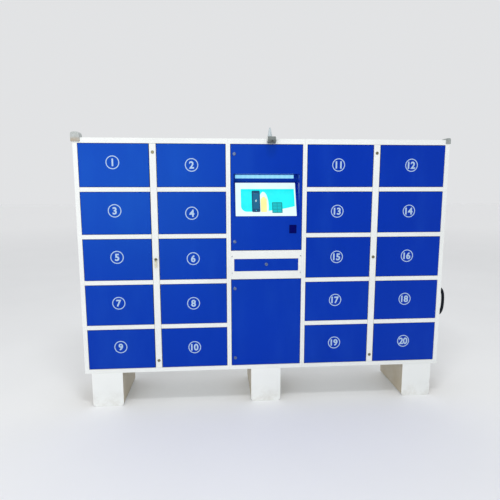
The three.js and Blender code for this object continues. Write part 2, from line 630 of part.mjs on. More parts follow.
const FOOT_WIDTH = 204;
const FOOT_LENGTH = 405;
const FOOT_RADIUS = 20;
const FOOT_SHEET = 2;
const FOOT_FLANGE = 24;
const FOOT_SPACING = 1072;
const ARC_STEPS = 5;

// The foot in front view: square at the top, with round lower corners.
function footOutline(middle, grow) {
  const half = FOOT_WIDTH / 2 + grow;
  const radius = FOOT_RADIUS + grow;
  const shape = new THREE.Shape();
  shape.moveTo(middle - half, FOOT_HEIGHT - FIT);
  shape.lineTo(middle - half, -grow + radius);
  shape.absarc(middle - half + radius, -grow + radius, radius, Math.PI, 1.5 * Math.PI);
  shape.absarc(middle + half - radius, -grow + radius, radius, 1.5 * Math.PI, 2 * Math.PI);
  shape.lineTo(middle + half, FOOT_HEIGHT - FIT);
  return shape;
}

function footSolid(middle, grow, [y0, y1]) {
  const options = { depth: y1 - y0, bevelEnabled: false, curveSegments: ARC_STEPS };
  const geometry = new THREE.ExtrudeGeometry(footOutline(middle, grow), options);
  return solid(geometry.rotateX(Math.PI / 2).translate(0, y1, 0));
}

// A welded beam, open on top inside an inward flange that bolts to the cabinet floor.
function foot(middle) {
  const y = [FRONT, FRONT + FOOT_LENGTH];
  const top = FOOT_HEIGHT - FIT;
  const hollow = cut(
    footSolid(middle, -FOOT_SHEET, grown(y, -FOOT_SHEET)),
    box(grown([middle, middle], FOOT_WIDTH), grown(y, OVERRUN), [top - FOOT_SHEET, top + OVERRUN]));
  const mouth = box(grown([middle, middle], FOOT_WIDTH / 2 - FOOT_FLANGE), grown(y, -FOOT_FLANGE),
    [top - 2 * FOOT_SHEET, top + OVERRUN]);
  return cut(footSolid(middle, 0, y), hollow, mouth);
}

// ---------- camera on the roof's front edge ----------

const CAMERA = { x: 27, radius: 22, width: 52, lug: 4, gap: 0.6, pivot: 4, clear: 5 };
const BARREL = { radius: 13, tip: 11, lens: 9, lensDepth: 2, reach: 30, tilt: THREE.MathUtils.degToRad(20) };
const CAMERA_Y = FRONT - CAMERA.radius - CAMERA.clear;
const CAMERA_Z = OPENINGS_TOP + CAMERA.radius + 0.5;
const AERIAL = { x: 22, y: FRONT + 27, radius: 19, tip: 5, top: 106, sides: 16 };
const BRACKET_SHEET = 3;
const BRACKET_ARM = 3 * BRACKET_SHEET;
const BRACKET_FRONT = FRONT + 4;
const BRACKET_BACK = FRONT + 50;
const CAMERA_SIDES = 20;

// A round bar along X.
function acrossBar(radius, y, z, [x0, x1], sides) {
  const geometry = new THREE.CylinderGeometry(radius, radius, x1 - x0, sides);
  return solid(geometry.rotateZ(Math.PI / 2).translate((x0 + x1) / 2, y, z));
}

// A flat foot on the roof with two lugs reaching forward, and a tapered aerial between them.
function cameraBracket() {
  const roof = CABINET_TOP + FIT;
  const armTop = roof + BRACKET_ARM;
  const lugIn = CAMERA.width / 2 + CAMERA.gap;
  const lugOut = lugIn + CAMERA.lug;
  const lugs = [-1, 1].map((end) => {
    const x = onSide(end, lugIn, lugOut).map((value) => value + CAMERA.x);
    return cut(
      join(
        box(x, [CAMERA_Y, BRACKET_BACK], [roof, armTop]),
        acrossBar(3 * CAMERA.pivot, CAMERA_Y, CAMERA_Z, x, CAMERA_SIDES),
        box(x, [CAMERA_Y - 2 * CAMERA.pivot, CAMERA_Y + 2 * CAMERA.pivot], [CAMERA_Z, armTop])),
      acrossBar(CAMERA.pivot + 2 * FIT, CAMERA_Y, CAMERA_Z, grown(x, OVERRUN), PIN_SIDES));
  });
  const base = box([CAMERA.x - lugOut, CAMERA.x + lugOut], [BRACKET_FRONT, BRACKET_BACK],
    [roof, roof + BRACKET_SHEET]);
  const aerialTop = OPENINGS_TOP + AERIAL.top;
  const aerial = new THREE.CylinderGeometry(AERIAL.tip, AERIAL.radius, aerialTop - roof, AERIAL.sides);
  aerial.rotateX(Math.PI / 2).translate(AERIAL.x, AERIAL.y, (aerialTop + roof) / 2);
  return join(base, lugs, solid(aerial));
}

// A drum between the lugs with a tapered barrel that looks forward and down.
function cameraHead() {
  const half = CAMERA.width / 2;
  const x = [CAMERA.x - half, CAMERA.x + half];
  const aimed = (radiusFront, radiusBack, [d0, d1]) => {
    const bar = new THREE.CylinderGeometry(radiusBack, radiusFront, d1 - d0, CAMERA_SIDES);
    bar.translate(0, -(d0 + d1) / 2, 0).rotateX(BARREL.tilt);
    return solid(bar.translate(CAMERA.x, CAMERA_Y, CAMERA_Z));
  };
  const barrel = aimed(BARREL.tip, BARREL.radius, [0, BARREL.reach]);
  const lens = aimed(BARREL.lens, BARREL.lens, [BARREL.reach - BARREL.lensDepth, BARREL.reach + OVERRUN]);
  const pins = [-1, 1].map((end) => {
    const span = onSide(end, half - OVERRUN, half + CAMERA.gap + CAMERA.lug).map((value) => value + CAMERA.x);
    return acrossBar(CAMERA.pivot, CAMERA_Y, CAMERA_Z, span, PIN_SIDES);
  });
  return cut(join(acrossBar(CAMERA.radius, CAMERA_Y, CAMERA_Z, x, CAMERA_SIDES), barrel, pins), lens);
}

// ---------- side handle and corner guards ----------

const HANDLE = { top: 965, bottom: 1187, reach: 62, radius: 10, y: FRONT + 70, pad: 15, padThickness: 5 };
const HANDLE_STEPS = 18;
const HANDLE_SECTION_STEPS = 5;
// How far out and how far up from its end the grip is at each point of its lower bend.
const HANDLE_BEND = [[2, 0], [16, 1], [39, 13], [HANDLE.reach - HANDLE.radius, 42]];

// A D-shaped grab handle: a bowed bar between two round pads on the side wall.
function sideHandle() {
  const wall = HALF_WIDTH + FIT;
  const high = atDrop(HANDLE.top) - HANDLE.pad;
  const low = atDrop(HANDLE.bottom) + HANDLE.pad;
  const lower = HANDLE_BEND.map(([out, up]) => new THREE.Vector3(wall + out, HANDLE.y, low + up));
  const upper = HANDLE_BEND.map(([out, up]) => new THREE.Vector3(wall + out, HANDLE.y, high - up)).reverse();
  const route = new THREE.CatmullRomCurve3([...lower, ...upper]);
  const section = new THREE.Shape();
  section.absarc(0, 0, HANDLE.radius, 0, 2 * Math.PI);
  const bar = new THREE.ExtrudeGeometry(section,
    { steps: HANDLE_STEPS, curveSegments: HANDLE_SECTION_STEPS, extrudePath: route, bevelEnabled: false });
  const padX = [wall, wall + HANDLE.padThickness];
  const pads = [low, high].map((z) => acrossBar(HANDLE.pad, HANDLE.y, z, padX, LOCK_SIDES));
  return join(solid(bar), pads);
}

// A rounded cap over each top front corner, wrapping the roof, the side and the front frame.
const GUARDS = {
  left: { side: -1, inner: 1169, outer: 1225, top: 68, bottom: 8, radius: 20, wrap: 8 },
  right: { side: 1, inner: 1188, outer: 1220, top: 45, bottom: 8, radius: 12, wrap: 4 },
};
const GUARD_LENGTH = 60;

function cornerGuard({ side, inner, outer, top, bottom, radius, wrap }) {
  const z0 = OPENINGS_TOP + bottom;
  const z1 = OPENINGS_TOP + top;
  const shape = new THREE.Shape();
  shape.moveTo(side * inner, z0);
  shape.lineTo(side * outer, z0);
  shape.lineTo(side * outer, z1 - radius);
  shape.quadraticCurveTo(side * outer, z1, side * (outer - radius), z1);
  shape.lineTo(side * (inner + radius), z1);
  shape.quadraticCurveTo(side * inner, z1, side * inner, z1 - radius);
  const options = { depth: GUARD_LENGTH, bevelEnabled: false, curveSegments: ARC_STEPS };
  const cap = new THREE.ExtrudeGeometry(shape, options).rotateX(Math.PI / 2);
  cap.translate(0, FRONT - wrap + GUARD_LENGTH, 0);
  const corner = box(onSide(side, 0, HALF_WIDTH + FIT), [FRONT - FIT, BACK],
    [CABINET_BOTTOM, CABINET_TOP + FIT]);
  return cut(solid(cap), corner);
}

// ---------- assembly ----------

const SIDE_NAMES = [[-1, 'left'], [1, 'right']];

COLUMNS.forEach((column, index) => {
  for (let row = 0; row < ROWS; row += 1) {
    const number = String(lockerNumber(index, row)).padStart(2, '0');
    addPiece(`locker_door_${number}`, lockerDoor(index, row), BLUE);
  }
  addPiece(`shelf_stack_${index + 1}`, shelfStack(column), WHITE);
});

for (const [side, name] of SIDE_NAMES) {
  addPiece(`${name}_cabinet`, bankCabinet(side), WHITE);
  addPiece(`lock_channel_cover_${name}`, channelCover(side), WHITE);
  addPiece(`lock_rail_${name}`, lockRail(side), ZINC);
  addPiece(`charging_rail_${name}`, chargingRail(side), BLACK_PLASTIC);
  POST_LOCK_DROPS.forEach((drop, index) => {
    addPiece(`channel_lock_${name}_${index + 1}`,
      camLock(POST_LOCK, side * POST_MIDDLE, atDrop(drop), 0, 1), CHROME);
  });
}

addPiece('centre_cabinet', centreCabinet(), WHITE);
addPiece('control_door', controlDoor(), BLUE);
addPiece('touch_display', touchDisplay(), SCREEN_GLASS);
addPiece('light_diffuser', lightDiffuser(), LIGHT);
addPiece('code_scanner', codeScanner(), NAVY_GLASS);
addPiece('slot_plate', slotPlate(), WHITE);
addPiece('service_drawer', serviceDrawer(), BLUE);
addPiece('service_door', serviceDoor(), BLUE);
addPiece('control_box', controlBox(), BLACK_PLASTIC);
CONTROL_LOCK_DROPS.forEach((drop, index) => {
  addPiece(`control_lock_${index + 1}`, camLock(CAM_LOCK, CONTROL_LOCK_X, atDrop(drop), -1, 0), CHROME);
});
SERVICE_LOCK_DROPS.forEach((drop, index) => {
  addPiece(`service_lock_${index + 1}`, camLock(CAM_LOCK, CONTROL_LOCK_X, atDrop(drop), -1, 0), CHROME);
});
addPiece('drawer_lock', camLock(CAM_LOCK, DRAWER_LOCK[0], atDrop(DRAWER_LOCK[1]), 0, 1), CHROME);

addPiece('foot_left', foot(-FOOT_SPACING), FOOT_GREY);
addPiece('foot_centre', foot(0), FOOT_GREY);
addPiece('foot_right', foot(FOOT_SPACING), FOOT_GREY);
addPiece('camera_bracket', cameraBracket(), WHITE);
addPiece('camera_head', cameraHead(), DARK_PLASTIC);
addPiece('side_handle', sideHandle(), BLACK_PLASTIC);
addPiece('top_corner_guard_left', cornerGuard(GUARDS.left), GUARD_PLASTIC);
addPiece('top_corner_guard_right', cornerGuard(GUARDS.right), DARK_PLASTIC);

export default kiosk;
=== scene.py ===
"""Looks for the charging locker wall: materials, number labels, the lit display and the small fittings.

Lengths are in metres in the model's own frame: X to the right, the front faces -Y, Z up from the floor.
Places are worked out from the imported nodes' boxes and joints.
"""

import json
import math
import random

import bmesh
import bpy
from mathutils import Matrix, Vector


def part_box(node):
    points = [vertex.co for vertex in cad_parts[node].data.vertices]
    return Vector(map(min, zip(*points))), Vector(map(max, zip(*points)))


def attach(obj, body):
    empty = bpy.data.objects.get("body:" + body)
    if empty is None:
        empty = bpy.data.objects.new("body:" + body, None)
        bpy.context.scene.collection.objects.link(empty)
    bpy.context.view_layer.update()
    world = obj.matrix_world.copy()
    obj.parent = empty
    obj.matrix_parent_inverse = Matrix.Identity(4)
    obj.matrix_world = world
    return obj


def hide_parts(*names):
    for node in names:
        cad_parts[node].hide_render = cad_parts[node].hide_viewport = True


MM = 0.001
FLOOR_HALF = 40.0

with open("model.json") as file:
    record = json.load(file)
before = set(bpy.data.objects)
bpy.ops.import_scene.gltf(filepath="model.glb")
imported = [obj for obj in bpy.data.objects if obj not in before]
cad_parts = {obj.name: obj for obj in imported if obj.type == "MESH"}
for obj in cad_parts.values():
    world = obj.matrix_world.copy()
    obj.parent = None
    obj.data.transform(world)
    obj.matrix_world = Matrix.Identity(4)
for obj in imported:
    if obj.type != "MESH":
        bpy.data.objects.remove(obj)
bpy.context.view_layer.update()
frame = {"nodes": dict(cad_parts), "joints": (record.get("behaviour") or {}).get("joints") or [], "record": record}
nodes = frame["nodes"]
record_slots = {part["node"]: part["material_slot"] for part in frame["record"]["subparts"]}


def put_in_scene(name, data):
    obj = bpy.data.objects.new(name, data)
    bpy.context.scene.collection.objects.link(obj)
    return obj


# ---------- camera, light and floor ----------

CAMERA_AT = (-0.3131, -3.0218, 1.4557)
CAMERA_TURN = (7.963, -0.631, 4.104)    # degrees about X, Y and Z, from straight ahead along +Y
CAMERA_LENS = 31.0                      # millimetres on a 36 mm sensor


def add_camera():
    turn_x, turn_y, turn_z = (math.radians(angle) for angle in CAMERA_TURN)
    turn = Matrix.Rotation(turn_z, 3, "Z") @ Matrix.Rotation(turn_y, 3, "Y") @ Matrix.Rotation(turn_x, 3, "X")
    camera_axes = Matrix((turn[0], turn[2], -turn[1])).transposed()
    data = bpy.data.cameras.new("camera")
    data.lens = CAMERA_LENS
    data.sensor_width = 36.0
    camera = put_in_scene("camera", data)
    camera.matrix_world = Matrix.Translation(CAMERA_AT) @ camera_axes.to_4x4()
    bpy.context.scene.camera = camera


def add_area_light(name, at, target, width, height, watts, colour):
    data = bpy.data.lights.new(name, "AREA")
    data.shape = "RECTANGLE"
    data.size = width
    data.size_y = height
    data.energy = watts
    data.color = colour
    light = put_in_scene(name, data)
    light.location = at
    light.rotation_mode = "QUATERNION"
    light.rotation_quaternion = (Vector(target) - Vector(at)).to_track_quat("-Z", "Y")


def add_world(colour, strength):
    world = bpy.data.worlds.new("studio")
    world.use_nodes = True
    background = world.node_tree.nodes["Background"]
    background.inputs["Color"].default_value = (*colour, 1)
    background.inputs["Strength"].default_value = strength
    bpy.context.scene.world = world


def add_studio():
    add_world((0.975, 0.985, 1.0), 0.78)
    middle = (0, 0, 1.0)
    add_area_light("key", (-2.3, -5.4, 1.9), middle, 4.2, 3.0, 106, (1.0, 0.995, 0.97))
    add_area_light("top", (-0.1, -2.0, 4.9), middle, 0.9, 0.6, 46, (0.97, 0.99, 1.0))
    add_area_light("back", (1.5, 5.0, 3.6), middle, 3.5, 2.5, 20, (1.0, 1.0, 1.0))
    bpy.context.scene.view_settings.view_transform = "Standard"


# ---------- materials ----------

class Look:
    """A Principled material, with short calls for the nodes of its pattern."""

    def __init__(self, name, colour, roughness, metallic=0.0, specular=0.5):
        self.material = bpy.data.materials.new(name)
        self.material.use_nodes = True
        self.tree = self.material.node_tree
        self.shader = self.tree.nodes["Principled BSDF"]
        self.put("Base Color", (*colour, 1))
        self.put("Roughness", roughness)
        self.put("Metallic", metallic)
        self.put("Specular IOR Level", specular)
        self.place = self.tree.nodes.new("ShaderNodeTexCoord").outputs["Object"]

    def put(self, socket, value):
        self.shader.inputs[socket].default_value = value

    def join(self, source, target):
        self.tree.links.new(source, target)

    def node(self, kind, inputs):
        """A new node; each input, by its name or number, is a value or another node's output."""
        node = self.tree.nodes.new("ShaderNode" + kind)
        for key, value in inputs.items():
            if isinstance(value, bpy.types.NodeSocket):
                self.join(value, node.inputs[key])
            else:
                node.inputs[key].default_value = value
        return node

    def noise(self, per_metre, detail, stretch=None, rough=0.5):
        """Noise in the object's own coordinates, which stretch may scale by a factor for each axis."""
        place = self.place
        if stretch:
            place = self.node("Mapping", {"Vector": place, "Scale": stretch}).outputs["Vector"]
        inputs = {"Vector": place, "Scale": per_metre, "Detail": detail, "Roughness": rough}
        return self.node("TexNoise", inputs).outputs["Fac"]

    def cells(self, per_metre):
        return self.node("TexVoronoi", {"Vector": self.place, "Scale": per_metre})

    def ramp(self, source, low, high, start=0.0, end=1.0):
        """Maps source from low..high to start..end, held at both ends."""
        inputs = {"Value": source, "From Min": low, "From Max": high, "To Min": start, "To Max": end}
        return self.node("MapRange", inputs).outputs["Result"]

    def product(self, first, second):
        node = self.node("Math", {0: first, 1: second})
        node.operation = "MULTIPLY"
        return node.outputs["Value"]

    def coordinate(self, axis, of=None):
        """One coordinate of the place on the object, or of another vector: 0, 1 or 2 for X, Y or Z."""
        return self.node("SeparateXYZ", {"Vector": of or self.place}).outputs[axis]

    def mix(self, factor, first, second, under=None):
        """A colour that goes from first, or from the output under, to second as factor goes from 0 to 1."""
        node = self.node("Mix", {0: factor})
        node.data_type = "RGBA"
        colour_inputs = [socket for socket in node.inputs if socket.type == "RGBA"]
        colour_inputs[0].default_value = (*first, 1)
        colour_inputs[1].default_value = (*second, 1)
        if under is not None:
            self.join(under, colour_inputs[0])
        return next(socket for socket in node.outputs if socket.type == "RGBA")

    def tint(self, factor, colour, under=None):
        """Mixes colour over the base colour, or over the output under, where factor is 1."""
        base = self.shader.inputs["Base Color"].default_value[:3]
        result = self.mix(factor, base, colour, under)
        self.join(result, self.shader.inputs["Base Color"])
        return result

    def patches(self, colour, per_metre, detail, low, high, most=1.0):
        """Patches of another shade over the base colour, where a noise is over low."""
        return self.tint(self.ramp(self.noise(per_metre, detail), low, high, 0.0, most), colour)

    def rough(self, source, start, end, low=0.3, high=0.7):
        self.join(self.ramp(source, low, high, start, end), self.shader.inputs["Roughness"])

    def gloss(self, per_metre, detail, start, end):
        """An uneven gloss: a roughness that wanders from start to end."""
        self.rough(self.noise(per_metre, detail), start, end)

    def bumps(self, source, depth, strength, under=None):
        """Bumps as high as source, over the bumps of the output under."""
        node = self.node("Bump", {"Height": source, "Distance": depth, "Strength": strength})
        if under is not None:
            self.join(under, node.inputs["Normal"])
        self.join(node.outputs["Normal"], self.shader.inputs["Normal"])
        return node.outputs["Normal"]

    def grain(self, per_metre, detail, depth, strength, under=None):
        return self.bumps(self.noise(per_metre, detail), depth, strength, under)

    def glow(self, factor, colour, other, strength):
        """Gives off light, whose colour goes to other where factor is 1."""
        self.join(self.mix(factor, colour, other), self.shader.inputs["Emission Color"])
        self.put("Emission Strength", strength)


def darker(colour, factor):
    return tuple(channel * factor for channel in colour)


def powder_coat(name, colour, dust, roughness, specular, gloss_tint=(1, 1, 1)):
    """Powder coat: orange peel, a slight drift of shade, wiped smears and faint specks of dust."""
    look = Look(name, colour, roughness, specular=specular)
    look.put("Specular Tint", (*gloss_tint, 1))
    shade = look.patches(darker(colour, 0.93), 2.3, 3, 0.35, 0.65)
    wiped = look.noise(4.5, detail=6, stretch=(1, 1, 0.25), rough=0.62)
    shade = look.tint(look.ramp(wiped, 0.5, 0.8, 0.0, 0.14), dust, under=shade)
    specks = look.ramp(look.noise(260, detail=4, rough=0.7), 0.66, 0.78, 0.0, 0.22)
    look.tint(specks, dust, under=shade)
    look.rough(wiped, roughness - 0.06, roughness + 0.1)
    peel = look.grain(620, 1.5, 0.06 * MM, 0.55)
    look.grain(9, 2, 0.5 * MM, 0.08, under=peel)
    return look.material


def white_paint():
    return powder_coat("white_paint", (0.77, 0.79, 0.778), (0.5, 0.49, 0.44), 0.42, 0.25)


def blue_paint():
    colour, dust, gloss_tint = (0.0003, 0.013, 0.35), (0.02, 0.1, 0.5), (0.07, 0.46, 1.0)
    return powder_coat("blue_paint", colour, dust, 0.34, 0.78, gloss_tint)


def foot_paint():
    """Grey paint, grimy near the floor, with painted shade on the feet's side faces: a patchy tan-brown darkening.
    """
    colour = (0.79, 0.81, 0.8)
    look = Look("foot_paint", colour, 0.5, specular=0.3)
    shade = look.patches(darker(colour, 0.94), 2.3, 3, 0.35, 0.65)
    rise = look.ramp(look.coordinate(2), 0.0, 0.12, 0.5, 0.0)
    smudge = look.ramp(look.noise(17, detail=5, rough=0.65), 0.4, 0.75)
    shade = look.tint(look.product(rise, smudge), (0.42, 0.39, 0.33), under=shade)
    normal = look.node("TexCoord", {}).outputs["Normal"]
    sideways = look.node("Math", {0: look.coordinate(0, of=normal)})
    sideways.operation = "ABSOLUTE"
    # Painted shade with a brown cast of painted reflected light: faces that look left or right are darkened in
    # patches.
    side_face = look.ramp(sideways.outputs["Value"], 0.6, 0.95)
    side_shade_patches = look.ramp(look.noise(7, detail=5), 0.2, 0.6, 0.75, 1.0)
    look.tint(look.product(side_face, side_shade_patches), (0.46, 0.405, 0.31), under=shade)
    look.gloss(34, 4, 0.45, 0.6)
    look.grain(620, 1.5, 0.06 * MM, 0.55)
    return look.material


def zinc():
    look = Look("zinc", (0.56, 0.57, 0.585), 0.36, metallic=0.95)
    spangle = look.node("RGBToBW", {"Color": look.cells(46).outputs["Color"]}).outputs["Val"]
    look.tint(look.ramp(spangle, 0.1, 0.9), (0.42, 0.44, 0.46))
    look.rough(spangle, 0.27, 0.48, low=0.1, high=0.9)
    look.grain(800, 3, 0.04 * MM, 0.5)
    return look.material


def chrome():
    look = Look("chrome", (0.74, 0.74, 0.72), 0.17, metallic=1.0)
    look.patches((0.5, 0.49, 0.46), 140, 4, 0.45, 0.8)
    look.gloss(900, 3, 0.12, 0.3)
    look.grain(1500, 2, 0.02 * MM, 0.4)
    return look.material


def nickel():
    # Painted reflection: the nickel's colour and its spots are tinted blue for the blue doors round it.
    look = Look("nickel_painted_blue_reflection", (0.14, 0.19, 0.34), 0.32, metallic=1.0)
    look.patches((0.08, 0.11, 0.21), 220, 5, 0.42, 0.7)
    look.gloss(600, 3, 0.22, 0.42)
    look.grain(1300, 2, 0.02 * MM, 0.4)
    return look.material


def brass():
    look = Look("aged_brass", (0.26, 0.25, 0.16), 0.38, metallic=1.0)
    look.patches((0.13, 0.12, 0.075), 240, 5, 0.4, 0.7)
    look.gloss(500, 3, 0.28, 0.55)
    look.grain(1100, 2, 0.03 * MM, 0.5)
    return look.material


def moulded(name, colour, roughness, grain=1400, specular=0.4):
    """Moulded plastic: a fine leathery grain, with small changes of shade and gloss."""
    look = Look(name, colour, roughness, specular=specular)
    look.patches(darker(colour, 0.72), 60, 5, 0.4, 0.75)
    look.gloss(150, 3, roughness - 0.07, roughness + 0.1)
    look.bumps(look.cells(grain).outputs["Distance"], 0.05 * MM, 0.6)
    return look.material


def yellowed_plastic(low, high):
    """A guard's plastic that turns tan-brown in patches below a height in the model, where it wraps the front
    frame.
    """
    look = Look("yellowed_plastic", (0.43, 0.455, 0.445), 0.55, specular=0.3)
    shade = look.patches((0.35, 0.37, 0.365), 60, 5, 0.4, 0.75)
    edge = look.ramp(look.coordinate(2), high, low)
    uneven = look.ramp(look.noise(35, detail=6), 0.25, 0.65, 0.45, 1.0)
    look.tint(look.product(edge, uneven), (0.38, 0.32, 0.24), under=shade)
    look.gloss(150, 3, 0.5, 0.65)
    look.bumps(look.cells(900).outputs["Distance"], 0.04 * MM, 0.4)
    return look.material


def screen_glass():
    """The dark rim of the display's glass, with faint finger marks."""
    look = Look("screen_glass", (0.012, 0.02, 0.03), 0.07, specular=0.5)
    marks = look.noise(48, detail=6, rough=0.7)
    look.rough(marks, 0.04, 0.2, low=0.45, high=0.75)
    look.tint(look.ramp(marks, 0.55, 0.8, 0.0, 0.5), (0.05, 0.07, 0.09))
    look.grain(5, 1, 0.2 * MM, 0.05)
    return look.material


def scanner_glass():
    look = Look("scanner_glass", (0.0, 0.001, 0.1), 0.3, specular=0.03)
    look.patches((0.004, 0.008, 0.1), 70, 5, 0.5, 0.8, most=0.5)
    look.gloss(70, 5, 0.25, 0.4)
    look.grain(900, 2, 0.02 * MM, 0.3)
    return look.material


def diffuser():
    """Opal acrylic over a row of lamps: a little brighter in front of each lamp."""
    look = Look("diffuser", (0.15, 0.22, 0.25), 0.4, specular=0.3)
    lamps = look.node("TexWave", {"Vector": look.place, "Scale": 9.5}).outputs["Fac"]
    look.glow(lamps, (0.2, 0.6, 0.86), (0.25, 0.66, 0.92), 0.95)
    look.grain(1200, 2, 0.03 * MM, 0.4)
    return look.material


def lit(name, colour):
    """A lit patch of the display, a touch darker in soft clouds, as a backlight is."""
    look = Look(name, darker(colour, 0.1), 0.12, specular=0.3)
    look.patches(darker(colour, 0.06), 900, 1, 0.4, 0.6)
    clouds = look.ramp(look.noise(14, detail=2), 0.35, 0.7)
    look.glow(clouds, colour, darker(colour, 0.9), 1.0)
    look.gloss(48, 5, 0.08, 0.2)
    return look.material


def label_vinyl():
    """White vinyl whose colour is painted down to a dim blue-grey as painted shade, with an uneven satin gloss and
    a few scuffs.
    """
    look = Look("label_vinyl", (0.38, 0.52, 0.7), 0.4, specular=0.3)
    look.patches((0.25, 0.37, 0.56), 180, 5, 0.5, 0.8, most=0.7)
    look.gloss(90, 3, 0.28, 0.45)
    look.grain(700, 2, 0.03 * MM, 0.3)
    return look.material


def lens_glass():
    look = Look("lens_glass", (0.004, 0.005, 0.012), 0.04, specular=0.8)
    look.put("Coat Weight", 0.6)
    look.put("Coat Roughness", 0.03)
    look.patches((0.012, 0.006, 0.03), 120, 2, 0.4, 0.7)
    look.gloss(60, 3, 0.03, 0.08)
    return look.material


def floor_finish():
    """A plain pale floor that gets paler far from the object."""
    look = Look("floor_finish", (0.84, 0.845, 0.85), 0.6, specular=0.2)
    shade = look.patches((0.825, 0.83, 0.835), 1.2, 4, 0.35, 0.65)
    distance = look.node("VectorMath", {0: look.place})
    distance.operation = "LENGTH"
    far = look.ramp(distance.outputs["Value"], 0.1 * FLOOR_HALF, 0.4 * FLOOR_HALF)
    look.tint(far, (0.98, 0.98, 0.98), under=shade)
    look.gloss(25, 4, 0.55, 0.7)
    return look.material


FINISHES = {
    "white_paint": white_paint(),
    "foot_paint": foot_paint(),
    "blue_paint": blue_paint(),
    "zinc": zinc(),
    "chrome": chrome(),
    "black_plastic": moulded("black_plastic", (0.0012, 0.004, 0.01), 0.5, specular=0.14),
    "dark_plastic": moulded("dark_plastic", (0.15, 0.17, 0.165), 0.5),
    "guard_plastic": moulded("guard_plastic", (0.52, 0.55, 0.54), 0.55, grain=900, specular=0.3),
    "screen_glass": screen_glass(),
    "diffuser": diffuser(),
    "scanner_glass": scanner_glass(),
}
BRASS = brass()
NICKEL = nickel()
LABEL = label_vinyl()
TAG_PLASTIC = moulded("tag_plastic", (0.64, 0.63, 0.49), 0.5, grain=900, specular=0.3)
LENS = lens_glass()
AERIAL_PLASTIC = moulded("aerial_plastic", (0.48, 0.54, 0.57), 0.45, grain=900, specular=0.4)


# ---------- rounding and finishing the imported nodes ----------

EDGE_ROUNDING = 0.4 * MM
ROUNDING = {
    "top_corner_guard_left": 5 * MM,
    "top_corner_guard_right": 3 * MM,
    "foot_left": 1.5 * MM,
    "foot_centre": 1.5 * MM,
    "foot_right": 1.5 * MM,
    "light_diffuser": 1.0 * MM,
}
SMOOTH_ANGLE = math.radians(35)


def smooth_by_angle_group():
    """Geometry nodes that drop the imported normals and shade smooth, sharp over SMOOTH_ANGLE."""
    group = bpy.data.node_groups.new("smooth_by_angle", "GeometryNodeTree")
    group.interface.new_socket("Geometry", in_out="INPUT", socket_type="NodeSocketGeometry")
    group.interface.new_socket("Geometry", in_out="OUTPUT", socket_type="NodeSocketGeometry")
    start = group.nodes.new("NodeGroupInput")
    end = group.nodes.new("NodeGroupOutput")
    forget = group.nodes.new("GeometryNodeRemoveAttribute")
    forget.inputs["Name"].default_value = "custom_normal"
    faces = group.nodes.new("GeometryNodeSetShadeSmooth")
    faces.domain = "FACE"
    edges = group.nodes.new("GeometryNodeSetShadeSmooth")
    edges.domain = "EDGE"
    angle = group.nodes.new("GeometryNodeInputMeshEdgeAngle")
    gentle = group.nodes.new("FunctionNodeCompare")
    gentle.operation = "LESS_THAN"
    gentle.inputs["B"].default_value = SMOOTH_ANGLE
    group.links.new(angle.outputs["Unsigned Angle"], gentle.inputs["A"])
    group.links.new(gentle.outputs["Result"], edges.inputs["Shade Smooth"])
    chain = (start, forget, faces, edges, end)
    for first, second in zip(chain, chain[1:]):
        group.links.new(first.outputs["Geometry"], second.inputs["Geometry"])
    return group


SMOOTH_BY_ANGLE = smooth_by_angle_group()


def round_edges(obj, width):
    """Merges doubled points, clears lines across flat faces, rounds sharp edges and keeps flat faces flat."""
    weld = obj.modifiers.new("weld", "WELD")
    weld.merge_threshold = 0.01 * MM
    flat = obj.modifiers.new("flat", "DECIMATE")
    flat.decimate_type = "DISSOLVE"
    flat.angle_limit = math.radians(0.5)
    bevel = obj.modifiers.new("round", "BEVEL")
    bevel.width = width
    bevel.segments = 2 if width <= EDGE_ROUNDING else 5
    bevel.limit_method = "ANGLE"
    bevel.angle_limit = math.radians(40)
    bevel.use_clamp_overlap = True
    smooth = obj.modifiers.new("smooth", "NODES")
    smooth.node_group = SMOOTH_BY_ANGLE
    weighted = obj.modifiers.new("weighted", "WEIGHTED_NORMAL")
    weighted.keep_sharp = True
    weighted.weight = 100


def guard_finishes():
    """The two top guards have different finishes: the left one turns brown below a height, the right one is a
    darker grey.
    """
    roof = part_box("left_cabinet")[1].z
    return {
        "top_corner_guard_left": yellowed_plastic(roof - 14 * MM, roof + 6 * MM),
        "top_corner_guard_right": moulded("grey_guard", (0.3, 0.325, 0.315), 0.55, grain=900, specular=0.3),
    }


def finish_nodes():
    own_finishes = guard_finishes()
    for name, obj in nodes.items():
        obj.data.materials.clear()
        obj.data.materials.append(own_finishes.get(name, FINISHES[record_slots[name]]))
        round_edges(obj, ROUNDING.get(name, EDGE_ROUNDING))


# ---------- making closed bodies ----------

# Turns that lay a flat drawing on a face: its x and y across the face, its z out of it.
OUT_OF_FRONT = Matrix(((1, 0, 0), (0, 0, -1), (0, 1, 0)))
OUT_OF_BACK = Matrix(((-1, 0, 0), (0, 0, 1), (0, 1, 0)))
OUT_OF_RIGHT = Matrix(((0, 0, 1), (1, 0, 0), (0, 1, 0)))
OUT_OF_LEFT = Matrix(((0, 0, -1), (-1, 0, 0), (0, 1, 0)))
OUT_OF_TOP = Matrix.Identity(3)
ROUND_STEPS = 4
CORNER_STEPS = 5


def placed(turn, at):
    return Matrix.Translation(at) @ turn.to_4x4()


def raised(height):
    return Matrix.Translation((0, 0, height))


def in_mm(points, x=0.0, y=0.0):
    """Flat points that are given in millimetres from a place, as metres."""
    return [(x + across * MM, y + up * MM) for across, up in points]


def arc(start, end, steps):
    """Points of the unit circle, from one number of quarter turns to another."""
    angles = [math.pi / 2 * (start + (end - start) * step / steps) for step in range(steps + 1)]
    return [(math.cos(angle), math.sin(angle)) for angle in angles]


def circle(radius, steps=40, centre=(0.0, 0.0)):
    return [(centre[0] + radius * x, centre[1] + radius * y) for x, y in arc(0, 4, steps)[:-1]]


